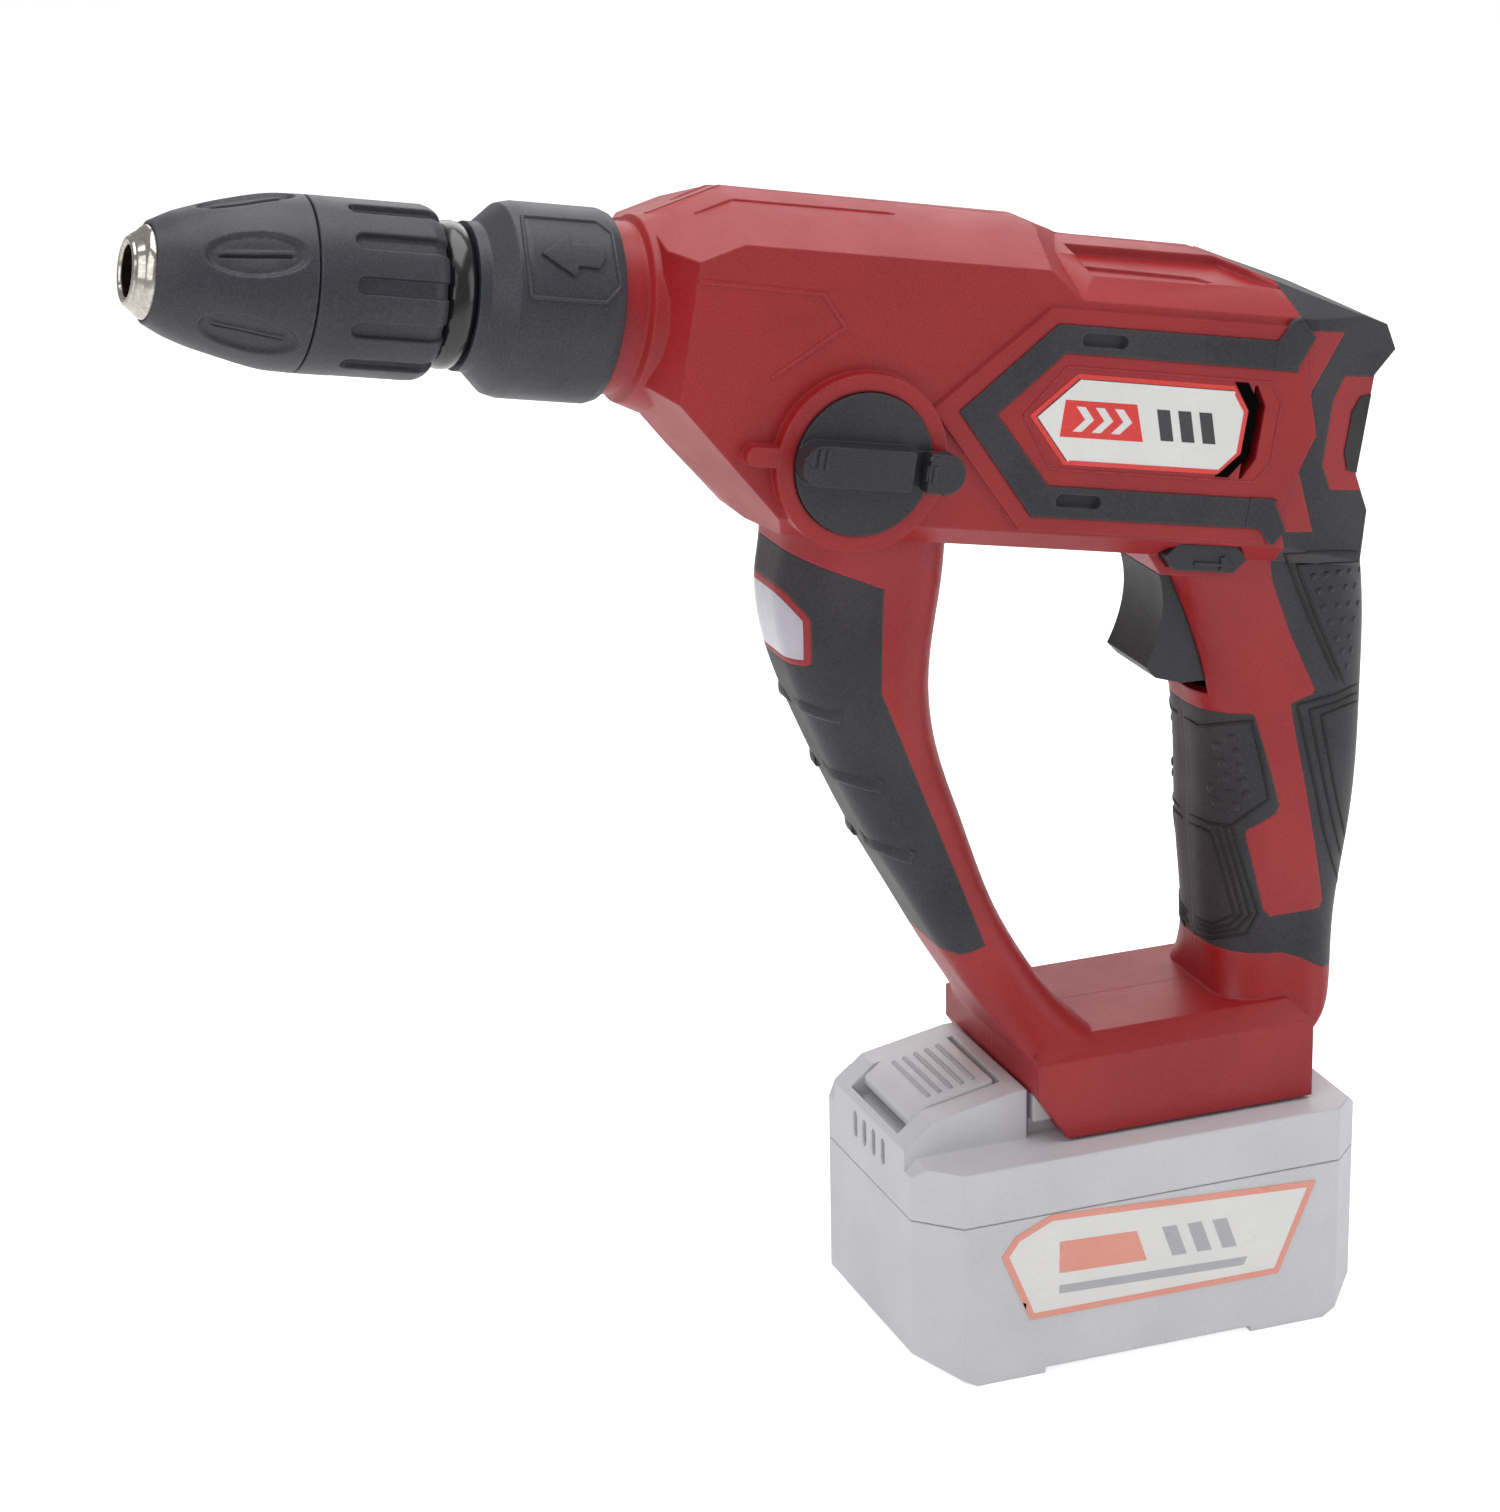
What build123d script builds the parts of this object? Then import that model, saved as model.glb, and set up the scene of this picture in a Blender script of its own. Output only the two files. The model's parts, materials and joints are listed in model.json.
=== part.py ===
from build123d import *
from math import acos, cos, pi, radians, sin, tan
import os

# Cordless rotary hammer with a keyless chuck and a slide-on battery pack.
#
# Row frame, millimetres: +Z up, chuck towards -X, origin on the floor under the middle of the pack.
# The barrel is tilted, so everything on it is placed by three barrel measures instead:
#   s  along the barrel axis, rearwards, from the joint between locking sleeve and housing
#   y  across, the same as the row's Y
#   t  square to the axis, upwards
os.makedirs("parts", exist_ok=True)

# ---------------------------------------------------------------- driving dimensions

BARREL_TILT = 10.0  # degrees nose-up
BARREL_START = Vector(-125, 0, 274)  # s = 0 on the axis
BODY_HALF = 29.0  # half width of gear housing and foot
WALL = 3.0  # housing wall
RUBBER = 1.8  # depth of the soft overmould
GAP = 0.05  # running clearance on a radius
SEAT = 0.15  # clearance where a fixed piece sits in a pocket

BIT_BORE_R = 5.8
CHUCK_R = 19.8
CHUCK_FRONT = -109.5
SLEEVE_SPLIT = -71.5  # gap between front and rear chuck sleeve
CHUCK_REAR = -41.1
JAW_ANGLE = 15.0  # degrees between a jaw way and the axis
JAW_R = 3.2
JAW_LENGTH = 28.0
JAW_TRAVEL = 19.2  # along its way, from 10 mm open to closed
JAW_TIP = -89.3  # front of an open jaw
WAY_APEX = -108.75  # where the jaw ways' centre lines would meet the axis
SCOOPS = 6
GROOVES = 12

SHANK_R = 5.0  # shank in the tool holder
HOLDER_R = 11.0
COLLAR_R = 22.3
NECK_R = 19.8
HAMMER_BORE_R = 8.0

LAY_T = -26.0  # height of the intermediate shaft
MOTOR_T = -12.0  # height of the motor shaft
SPINDLE_TEETH = 40
PINION_TEETH = 12
LAY_TEETH = 25
MOTOR_TEETH = 10
SPINDLE_MODULE = 1.0
MOTOR_MODULE = 0.8
BACKLASH = 0.22

KNOB_S = 57.0
KNOB_T = -25.5
KNOB_R = 16.8
KNOB_RING_R = 21.0

MOTOR_R = 21.0
TRIGGER_HALF = 11.0
PILLAR_HALF = 17.0

PACK_HALF_X = 60.5
PACK_HALF_Y = 37.0
PACK_SEAM = 43.5
PACK_TOP = 58.0
FOOT_BOTTOM = 59.0
FOOT_TOP = 83.4
RAIL_HALF = 20.5  # half width of the slot between the foot's rails
CELL_R = 9.1
CELL_LENGTH = 65.0

# ---------------------------------------------------------------- places

ALONG = Vector(cos(radians(BARREL_TILT)), 0, -sin(radians(BARREL_TILT)))
ACROSS = Vector(0, 1, 0)
UP = Vector(sin(radians(BARREL_TILT)), 0, cos(radians(BARREL_TILT)))

SIDE = Plane(origin=BARREL_START, x_dir=ALONG, z_dir=(0, -1, 0))  # sketches in (s, t)
DECK = Plane(origin=BARREL_START, x_dir=ALONG, z_dir=UP)  # sketches in (s, y)
UPRIGHT = Plane(origin=(0, 0, 0), x_dir=(1, 0, 0), z_dir=(0, -1, 0))  # sketches in (X, Z)


def spot(s, y, t):
    """A barrel place as a point in the row frame."""
    return BARREL_START + ALONG * s + ACROSS * y + UP * t


def station(s, t=0.0):
    """Plane square to the barrel at s, centred at height t; its x is Y and its y is up."""
    return Plane(origin=spot(s, 0, t), x_dir=(0, 1, 0), z_dir=ALONG)


def upright_xz(s, t):
    """A barrel place (s, t) as (X, Z)."""
    point = spot(s, 0, t)
    return (point.X, point.Z)


def shaft(t=0.0):
    """Axis parallel to the barrel at height t."""
    return Axis(spot(0, 0, t), ALONG)


def level(height):
    """Horizontal plane at this height."""
    return Plane.XY.offset(height)


# ---------------------------------------------------------------- housing envelope

GEAR_PROFILE = [
    (7.5, -20), (40, -45.5), (120, -45.5), (120, 26), (112, 26), (100, 29.3),
    (22, 30.2), (18, 30.0), (7.5, 23.5),
]
MOTOR_PROFILE = [
    (90, -45.5), (196, -45.5), (195, -31), (189.5, -22), (189.5, 2.5), (194.5, 9), (190.5, 15),
    (172, 19.5), (155, 23.8), (147, 25.4), (112, 26), (90, 26),
]
GEAR_SECTION = [
    (-29, 21.8), (-14, 27), (0, 30.2), (14, 27), (29, 21.8),
    (29, -40.3), (22, -45.5), (-22, -45.5), (-29, -40.3),
]
MOTOR_SECTION = [
    (-29, 15.4), (-14, 23.5), (0, 26), (14, 23.5), (29, 15.4),
    (29, -40.3), (22, -45.5), (-22, -45.5), (-29, -40.3),
]
BODY_PLAN = [
    (7.5, -19), (12, -29), (170, -29), (196, -24), (196, 24), (170, 29), (12, 29), (7.5, 19),
]
# Slanted corner facets of the gear housing, each by three points (s, y, t) on the near side.
GEAR_FACETS = [
    [(11.8, -29, 17), (22, -29, 21.8), (25.2, -14, 26.9)],
    [(13.5, -29, -17), (36, -29, -37), (42, -20, -44.5)],
    [(98, -29, 21.8), (107.5, -29, 15.3), (108, 0, 28.2)],
]
# Handle sections: height, front, rear, half width, corner radius.
GRIP_SECTIONS = [
    (74, 24, 48.4, 28, 6), (84, 29, 61.5, 20, 10), (100, 28.7, 65, 17, 13), (125, 26.7, 68.5, 18, 14),
    (150, 25.5, 70.4, 18.5, 15), (176, 21, 70.3, 18.5, 14), (192, 16, 68, 19.5, 12),
    (208, 6, 66, 21, 8),
]
PILLAR_SECTIONS = [
    (76, -26, 2, 28, 5), (84, -30.5, -9, 24, 7), (92, -36, -16.5, 19.5, 8),
    (102, -42.5, -23, PILLAR_HALF, 8), (116, -50.5, -30.5, PILLAR_HALF, 9),
    (139, -63.5, -38.5, PILLAR_HALF, 11), (160, -73.5, -45, PILLAR_HALF, 12),
    (182, -82.3, -46.5, PILLAR_HALF, 12), (205, -85.5, -43, PILLAR_HALF, 12),
    (222, -86, -38, PILLAR_HALF, 12),
]
FOOT_PROFILE = [
    (-27, 71), (-19, FOOT_BOTTOM), (48.5, FOOT_BOTTOM), (48.5, 79), (45, FOOT_TOP), (-24, FOOT_TOP),
    (-27, 80.5),
]
FOOT_SECTION = [
    (-29, FOOT_BOTTOM), (29, FOOT_BOTTOM), (29, 79.5), (22, FOOT_TOP), (-22, FOOT_TOP), (-29, 79.5),
]


def facet_plane(points, inset):
    """Plane through three barrel places, normal outwards, moved inwards by inset."""
    first, second, third = [spot(*point) for point in points]
    normal = (second - first).cross(third - first).normalized()
    if normal.dot(first - spot(60, 0, -10)) < 0:
        normal = normal * -1
    return Plane(origin=first - normal * inset, z_dir=normal)


def mirrored_points(points):
    return [(s, -y, t) for s, y, t in points]


def trimmed_polygon(points, inset):
    """A polygon face, shrunk by inset, in the sketch that is open."""
    Polygon(*points, align=None)
    if inset > 0:
        offset(amount=-inset, kind=Kind.INTERSECTION, mode=Mode.REPLACE)


def body_shape(profile, section, facets, inset):
    """One faceted length of the barrel housing: side, end and top outlines crossed."""
    with BuildPart() as shape:
        with BuildSketch(SIDE):
            trimmed_polygon(profile, inset)
        extrude(amount=BODY_HALF - inset, both=True)
        with BuildSketch(station(-20)):
            trimmed_polygon(section, inset)
        extrude(amount=240, mode=Mode.INTERSECT)
        with BuildSketch(DECK):
            trimmed_polygon(BODY_PLAN, inset)
        extrude(amount=60, both=True, mode=Mode.INTERSECT)
        for facet in facets:
            split(bisect_by=facet_plane(facet, inset), keep=Keep.BOTTOM)
            split(bisect_by=facet_plane(mirrored_points(facet), inset), keep=Keep.BOTTOM)
    return shape.part


def handle_shape(sections, inset):
    """A handle lofted through rounded rectangles at rising heights."""
    with BuildPart() as shape:
        for height, front, rear, half, corner in sections:
            with BuildSketch(level(height)):
                with Locations(((front + rear) / 2, 0)):
                    RectangleRounded(rear - front - 2 * inset, 2 * (half - inset), corner - inset)
        loft()
    return shape.part


def foot_shape(inset):
    with BuildPart() as shape:
        with BuildSketch(UPRIGHT):
            trimmed_polygon(FOOT_PROFILE, inset)
        extrude(amount=BODY_HALF - inset, both=True)
        with BuildSketch(Plane.YZ.offset(-60)):
            trimmed_polygon(FOOT_SECTION, inset)
        extrude(amount=140, mode=Mode.INTERSECT)
    return shape.part


def envelope(inset):
    """The whole housing's outer form, moved inwards by inset."""
    with BuildPart() as shape:
        add(body_shape(GEAR_PROFILE, GEAR_SECTION, GEAR_FACETS, inset))
        add(body_shape(MOTOR_PROFILE, MOTOR_SECTION, [], inset))
        add(handle_shape(GRIP_SECTIONS, inset))
        add(handle_shape(PILLAR_SECTIONS, inset))
        add(foot_shape(inset))
    return shape.part


OUTER = envelope(0.0)
SKIN_FLOOR = envelope(RUBBER)
CAVITY = envelope(WALL)

# ---------------------------------------------------------------- side regions of the skin

CAP_EDGE = [(155.5, 45), (155.5, 24.5), (162.5, 22), (165, 15.5), (168, 12.6), (178, 12.6),
            (171.3, -2), (172, -22), (179.5, -36.5), (170, -36.5)]
GRIP_EDGE = [(37, 204), (38, 198), (39, 193), (45, 178), (52, 163.5), (51.5, 162), (45.5, 160.5),
             (46, 157),
             (57, 106), (56, 104), (42, 104), (40, 106), (34.5, 127), (35, 128.5), (42, 132), (43, 134),
             (36, 158), (35, 159), (22, 159), (15, 161.5)]
GRIP_END = [(10, 161.5), (10, 98), (21, 98), (28, 95.5), (45, 94), (50, 92), (57, 88), (80, 86),
            (90, 200)]
VENT_WINDOW = [(180.5, 2), (178.3, -4), (178.7, -20), (182.5, -26), (210, -26), (210, 2)]
PILLAR_REGION = [(-110, 217), (-91.5, 217), (-62, 203.2), (-63, 177.7), (-36, 108.7),
                 (-42, 106.7), (-47, 107.7), (-60, 113), (-110, 113)]
LENS_REGION = [(-100, 204.5), (-86, 203), (-81.5, 197), (-81, 187), (-100, 184)]
BAND = [(80, -12.3), (101.5, 9.8), (162, 9.8), (166, 2.8), (104.5, 3.2), (89.5, -12.3),
        (105.5, -28.5), (166.5, -28.5), (163, -35.8), (102.5, -36)]
BAND_BORDER = [(73.5, -12.3), (99.7, 13.4), (165, 13.4), (174, -12.3), (165, -39.4), (100, -39.4)]
LABEL = [(100, -12.3), (109.5, -2.8), (150, -3), (154, -8), (154, -18), (150, -22.3), (109.5, -22.3)]
SIDE_VENT = [(156, -1.2), (159, -6), (159, -19), (156, -24), (155.2, -24), (155.2, -1.2)]
BORDER_Y = 30.0  # the raised border stands 1 mm proud of the side
BAND_Y = 30.4
BAND_DEPTH = 2.6
LABEL_Y = 30.2
LABEL_THICK = 0.8
SLOT_STATION = 114.0
SLOT_LENGTH = 12.0
SLOT_WIDTH = 3.3

grip_region = [upright_xz(*point) for point in CAP_EDGE] + GRIP_EDGE + GRIP_END

with BuildPart() as cap_and_grip:
    with BuildSketch(UPRIGHT):
        Polygon(*grip_region, upright_xz(215, 45), align=None)
    extrude(amount=60, both=True)
    with BuildSketch(SIDE):
        Polygon(*VENT_WINDOW, align=None)
    extrude(amount=60, both=True, mode=Mode.SUBTRACT)

with BuildPart() as pillar_region:
    with BuildSketch(UPRIGHT):
        Polygon(*PILLAR_REGION, align=None)
    extrude(amount=60, both=True)
    with BuildSketch(UPRIGHT):
        Polygon(*LENS_REGION, align=None)
        offset(amount=1.6, kind=Kind.ARC)
    extrude(amount=60, both=True, mode=Mode.SUBTRACT)

with BuildPart() as lens_region:
    with BuildSketch(UPRIGHT):
        Polygon(*LENS_REGION, align=None)
    extrude(amount=60, both=True)

with BuildPart() as soft_skin:
    add(OUTER)
    add(SKIN_FLOOR, mode=Mode.SUBTRACT)


def half(part, side):
    """The half of a part on the -Y side (side -1) or the +Y side (side 1)."""
    with BuildPart() as piece:
        add(part)
        split(bisect_by=Plane.XZ, keep=Keep.TOP if side < 0 else Keep.BOTTOM)
    return piece.part


def both_sides(points, y_in, y_out, mode=Mode.ADD, grow=0.0):
    """Prism of a side outline between two distances from the centre plane, on both sides."""
    for sign in (1, -1):
        with BuildSketch(SIDE.offset(sign * y_in)) as outline:
            Polygon(*points, align=None)
            if grow:
                offset(amount=grow, kind=Kind.INTERSECTION, mode=Mode.REPLACE)
        extrude(outline.sketch, amount=sign * (y_out - y_in), mode=mode)


def side_prism(points, y_in, y_out, grow=0.0):
    """Prism of a side outline on the near side, as a piece of its own."""
    with BuildPart() as prism:
        with BuildSketch(SIDE.offset(y_in)):
            Polygon(*points, align=None)
            if grow:
                offset(amount=grow, kind=Kind.INTERSECTION, mode=Mode.REPLACE)
        extrude(amount=y_out - y_in)
    return prism.part


# ---------------------------------------------------------------- housing shells

# Screws, as (X, Z): two on the barrel, then pillar, foot and grip.
SCREW_SPOTS = [upright_xz(99, 17), upright_xz(154, 16), (-65, 199), (-46.5, 128),
               (-2, 76.6), (48, 98), (58, 148), (60, 190)]
SCREW_R = 1.6
SCREW_HEAD_R = 3.3
SCREW_HEAD_Y = 14.0
SCREW_HEAD_HEIGHT = 2.4
SCREW_TIP_Y = -12.0
BOSS_R = 4.8
MOTOR_RIBS = [118.0, 146.0]
RIB = 2.0
NECK_FRONT = -1.5
NECK_BORE_R = 18.25
PLATE_FRONT = 12.2
TOWER_HALF = 23.5  # half width of the pack's rail head
TOWER_TOP = 69.5
DIRECTION_S = 152.5
DIRECTION_T = -44.6
TRIGGER_OPENING = [(-10, 198), (33.8, 198), (33.8, 166), (26, 163.5), (-10, 163.5)]
SLIDER_OUTLINE = [(-11, 0), (-8, 3.4), (8, 3.4), (11, 0), (8, -3.4), (-8, -3.4)]

with BuildPart() as hollow:
    add(CAVITY)
    for rib_s in MOTOR_RIBS:
        with BuildSketch(station(rib_s, MOTOR_T)):
            Rectangle(64, 74)
            Circle(MOTOR_R + SEAT, mode=Mode.SUBTRACT)
        extrude(amount=RIB, mode=Mode.SUBTRACT)
    with BuildSketch(UPRIGHT):
        with Locations(*SCREW_SPOTS):
            Circle(BOSS_R)
    extrude(amount=60, both=True, mode=Mode.SUBTRACT)

with BuildPart() as housing:
    add(OUTER)
    # neck that the locking sleeve slides over
    with BuildSketch(station(NECK_FRONT)):
        Circle(NECK_R)
    extrude(amount=12)
    with BuildSketch(SIDE):
        Polygon((5.0, 0), (5.0, NECK_R), (6.0, 21.6), (12, 23.5), (12, 0), align=None)
    revolve(axis=shaft())
    # raised chevron border on both sides, knob ring and pointer on the near side
    both_sides(BAND_BORDER, 20, BORDER_Y)
    with BuildSketch(SIDE.offset(18)):
        with Locations((KNOB_S, KNOB_T)):
            Circle(KNOB_RING_R)
    extrude(amount=14.4)
    with BuildSketch(SIDE.offset(BODY_HALF - 2)):
        with Locations((KNOB_S - 23.5, KNOB_T)):
            SlotOverall(10, 4.6)
    extrude(amount=5.2)
    # slider bosses at the belly
    with BuildSketch(SIDE):
        with Locations((DIRECTION_S, DIRECTION_T)):
            Polygon(*SLIDER_OUTLINE, align=None)
            offset(amount=2.4, kind=Kind.INTERSECTION, mode=Mode.REPLACE)
    extrude(amount=22, both=True)
    add(hollow.part, mode=Mode.SUBTRACT)
    # pockets for the soft skin, bands, labels and lens
    add(soft_skin.part.intersect(cap_and_grip.part), mode=Mode.SUBTRACT)
    add(soft_skin.part.intersect(pillar_region.part), mode=Mode.SUBTRACT)
    both_sides(BAND, BAND_Y - BAND_DEPTH, BAND_Y + 2, Mode.SUBTRACT)
    both_sides(LABEL, LABEL_Y - LABEL_THICK, BAND_Y + 2, Mode.SUBTRACT, SEAT)
    both_sides(SIDE_VENT, 20, 40, Mode.SUBTRACT)
    with BuildSketch(UPRIGHT):
        Polygon(*LENS_REGION, align=None)
    extrude(amount=PILLAR_HALF - 3, both=True, mode=Mode.SUBTRACT)
    # neck bore and knob bore
    with BuildSketch(station(NECK_FRONT - 1)):
        Circle(NECK_BORE_R)
    extrude(amount=PLATE_FRONT - NECK_FRONT + 1, mode=Mode.SUBTRACT)
    with BuildSketch(SIDE.offset(29.4)):
        with Locations((KNOB_S, KNOB_T)):
            Circle(KNOB_R + 0.2)
    extrude(amount=10, mode=Mode.SUBTRACT)
    with BuildSketch(SIDE.offset(20)):
        with Locations((KNOB_S, KNOB_T)):
            Circle(8.0 + GAP)
    extrude(amount=20, mode=Mode.SUBTRACT)
    # trigger and slider openings
    with BuildSketch(UPRIGHT):
        Polygon(*TRIGGER_OPENING, align=None)
    extrude(amount=TRIGGER_HALF + 0.4, both=True, mode=Mode.SUBTRACT)
    with BuildSketch(SIDE):
        with Locations((DIRECTION_S, DIRECTION_T)):
            Polygon(*SLIDER_OUTLINE, align=None)
            offset(amount=0.2, kind=Kind.INTERSECTION, mode=Mode.REPLACE)
    extrude(amount=60, both=True, mode=Mode.SUBTRACT)
    # rail slot, open below and in front
    with BuildSketch(level(FOOT_BOTTOM - 1)):
        with Locations((7, 0)):
            Rectangle(76, 2 * RAIL_HALF)
    extrude(amount=WALL + 2, mode=Mode.SUBTRACT)
    with BuildSketch(level(FOOT_BOTTOM + WALL)):
        with Locations((-10, 0)):
            Rectangle(42, 2 * TOWER_HALF + 0.8)
    extrude(amount=TOWER_TOP - FOOT_BOTTOM - WALL + 0.4, mode=Mode.SUBTRACT)
    # rear vent slots and screw holes
    for slot_t in (-3, -9, -15, -21):
        with BuildSketch(station(176, slot_t)):
            Rectangle(26, 2.6)
        extrude(amount=30, mode=Mode.SUBTRACT)
    with BuildSketch(UPRIGHT.offset(-SCREW_TIP_Y)):
        with Locations(*SCREW_SPOTS):
            Circle(SCREW_R + GAP)
    extrude(amount=-60, mode=Mode.SUBTRACT)
    with BuildSketch(UPRIGHT.offset(-SCREW_HEAD_Y)):
        with Locations(*SCREW_SPOTS):
            Circle(SCREW_HEAD_R + 0.2)
    extrude(amount=-40, mode=Mode.SUBTRACT)

with BuildPart() as left_housing:
    add(half(housing.part, -1))
with BuildPart() as right_housing:
    add(half(housing.part, 1))

# ---------------------------------------------------------------- soft skin, bands, labels, lens


def skin_piece(region, side):
    """The part of the soft skin that a side region covers, on one side of the housing."""
    with BuildPart() as piece:
        add(half(soft_skin.part.intersect(region), side))
        add(neck_clearance, mode=Mode.SUBTRACT)
    return piece.part


with BuildPart() as clearance:
    both_sides(BAND_BORDER, 20, BORDER_Y + 1)
    with BuildSketch(UPRIGHT):
        Polygon(*TRIGGER_OPENING, align=None)
    extrude(amount=TRIGGER_HALF + 0.4, both=True)
    with BuildSketch(UPRIGHT.offset(-SCREW_HEAD_Y)):
        with Locations(*SCREW_SPOTS):
            Circle(SCREW_HEAD_R + 0.2)
    extrude(amount=-40)
neck_clearance = clearance.part

with BuildPart() as left_grip_rubber:
    add(skin_piece(cap_and_grip.part, -1))
with BuildPart() as right_grip_rubber:
    add(skin_piece(cap_and_grip.part, 1))
with BuildPart() as left_pillar_rubber:
    add(skin_piece(pillar_region.part, -1))
with BuildPart() as right_pillar_rubber:
    add(skin_piece(pillar_region.part, 1))

with BuildPart() as left_motor_band:
    add(side_prism(BAND, BAND_Y - BAND_DEPTH, BAND_Y, -SEAT / 3))
    for slot_t in (DIRECTION_T + 51.2, DIRECTION_T + 12.8):
        with BuildSketch(SIDE.offset(BAND_Y - 1.6)):
            with Locations((SLOT_STATION, slot_t)):
                SlotOverall(SLOT_LENGTH, SLOT_WIDTH)
        extrude(amount=4, mode=Mode.SUBTRACT)
with BuildPart() as right_motor_band:
    add(left_motor_band.part)
    mirror(about=Plane.XZ, mode=Mode.REPLACE)

with BuildPart() as left_label:
    add(side_prism(LABEL, LABEL_Y - LABEL_THICK, LABEL_Y))
with BuildPart() as right_label:
    add(left_label.part)
    mirror(about=Plane.XZ, mode=Mode.REPLACE)

with BuildPart() as led_lens:
    add(soft_skin.part.intersect(lens_region.part))
    with BuildSketch(UPRIGHT):
        Rectangle(300, 600)
    extrude(amount=PILLAR_HALF - 3.2, both=True, mode=Mode.INTERSECT)

# ---------------------------------------------------------------- mode selector

LEVER_OUT = 38.0
LEVER_WIDTH = 10.4
BUTTON_OUT = 38.6
KNOB_FACE = 33.4
PIN_OFFSET = 4.0
PIN_END_Y = 6.8

with BuildPart() as mode_knob:
    with BuildSketch(SIDE.offset(29.5)):
        with Locations((KNOB_S, KNOB_T)):
            Circle(KNOB_R)
    extrude(amount=KNOB_FACE - 29.5)
    with BuildSketch(SIDE.offset(KNOB_FACE)):
        with Locations((KNOB_S - 1.5, KNOB_T)):
            SlotOverall(31.6, LEVER_WIDTH)
    extrude(amount=LEVER_OUT - KNOB_FACE, taper=6)
    with BuildSketch(SIDE.offset(KNOB_FACE)):
        with Locations((KNOB_S + 20.5, KNOB_T)):
            Rectangle(20, LEVER_WIDTH + 6)
    extrude(amount=LEVER_OUT, mode=Mode.SUBTRACT)
    # carrier tongue that the lock button slides on
    with BuildSketch(SIDE.offset(KNOB_FACE - 0.9)):
        with Locations((KNOB_S + 10, KNOB_T)):
            SlotOverall(22, LEVER_WIDTH - 2)
    extrude(amount=1.6)
    # stem and shift pin
    with BuildSketch(SIDE.offset(14.0)):
        with Locations((KNOB_S, KNOB_T)):
            Circle(8.0)
    extrude(amount=16.0)
    with BuildSketch(SIDE.offset(PIN_END_Y)):
        with Locations((KNOB_S, KNOB_T + PIN_OFFSET)):
            Circle(1.0)
    extrude(amount=14.2 - PIN_END_Y)

with BuildPart() as mode_lock_button:
    with BuildSketch(SIDE.offset(KNOB_FACE + 0.8)):
        with Locations((KNOB_S + 16.4, KNOB_T)):
            Rectangle(4.6, LEVER_WIDTH - 1)
        with Locations((KNOB_S + 18.6, KNOB_T)):
            Circle(LEVER_WIDTH / 2 - 0.5)
    extrude(amount=BUTTON_OUT - KNOB_FACE - 0.8)

# ---------------------------------------------------------------- gears


def involute_gear(module, teeth, phase):
    """Outline points of a spur gear with a tooth centred at the phase angle,
    thinned by the backlash."""
    pitch_r = module * teeth / 2
    base_r = pitch_r * cos(radians(20))
    tip_r = pitch_r + 0.85 * module
    root_r = pitch_r - 1.15 * module
    half_pitch_angle = (pi * module / 2 - BACKLASH) / 2 / pitch_r
    roll_at_pitch = tan(radians(20)) - radians(20)

    def half_angle(radius):
        if radius <= base_r:
            return half_pitch_angle + roll_at_pitch
        pressure = acos(base_r / radius)
        return half_pitch_angle + roll_at_pitch - (tan(pressure) - pressure)

    flank = [root_r, max(base_r, root_r + 0.05), pitch_r, (pitch_r + tip_r) / 2, tip_r]
    points = []
    for tooth in range(teeth):
        middle = radians(phase) + 2 * pi * tooth / teeth
        for radius in flank:
            angle = middle - half_angle(radius)
            points.append((radius * cos(angle), radius * sin(angle)))
        for radius in reversed(flank):
            angle = middle + half_angle(radius)
            points.append((radius * cos(angle), radius * sin(angle)))
    return points


SPINDLE_GEAR_S = 36.0
LAY_GEAR_S = 88.0
FACE_WIDTH = 7.0

with BuildPart() as spindle_gear:
    with BuildSketch(station(SPINDLE_GEAR_S)):
        Polygon(*involute_gear(SPINDLE_MODULE, SPINDLE_TEETH, -90 + 180 / SPINDLE_TEETH), align=None)
        Circle(HOLDER_R + GAP, mode=Mode.SUBTRACT)
    extrude(amount=FACE_WIDTH)
    with BuildSketch(station(SPINDLE_GEAR_S - 0.1)):
        Circle(17.5)
        Circle(13.5, mode=Mode.SUBTRACT)
    extrude(amount=2.1, mode=Mode.SUBTRACT)

with BuildPart() as intermediate_shaft:
    with BuildSketch(station(SPINDLE_GEAR_S - 1, LAY_T)):
        Polygon(*involute_gear(SPINDLE_MODULE, PINION_TEETH, 90), align=None)
    extrude(amount=FACE_WIDTH + 2)
    with BuildSketch(SIDE):
        Polygon((28.5, LAY_T), (28.5, LAY_T + 4), (33.4, LAY_T + 4), (33.4, LAY_T + 4.8),
                (46, LAY_T + 4.8),
                (46, LAY_T + 4), (74, LAY_T + 4), (74, LAY_T + 6.4), (84, LAY_T + 6.4), (84, LAY_T + 4),
                (100, LAY_T + 4), (100, LAY_T), align=None)
    revolve(axis=shaft(LAY_T))

with BuildPart() as intermediate_gear:
    with BuildSketch(station(LAY_GEAR_S, LAY_T)):
        Polygon(*involute_gear(MOTOR_MODULE, LAY_TEETH, 90), align=None)
        Circle(4.0 + GAP, mode=Mode.SUBTRACT)
    extrude(amount=6)

with BuildPart() as motor_pinion:
    with BuildSketch(station(LAY_GEAR_S - 1, MOTOR_T)):
        Polygon(*involute_gear(MOTOR_MODULE, MOTOR_TEETH, -90 + 180 / MOTOR_TEETH), align=None)
        Circle(2.0 + GAP, mode=Mode.SUBTRACT)
    extrude(amount=8)

with BuildPart() as clutch_sleeve:
    with BuildSketch(SIDE):
        Polygon((51, LAY_T + 4.05), (51, LAY_T + 9), (55.1, LAY_T + 9), (55.1, LAY_T + 6.4),
                (58.9, LAY_T + 6.4),
                (58.9, LAY_T + 9), (63, LAY_T + 9), (63, LAY_T + 4.05), align=None)
    revolve(axis=shaft(LAY_T))

# ---------------------------------------------------------------- wobble drive and hammer line

WOBBLE_S = 79.0
FINGER_R = 2.5
STRIKER = (30.0, 45.0)
PISTON = (52.0, 64.0)

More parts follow.
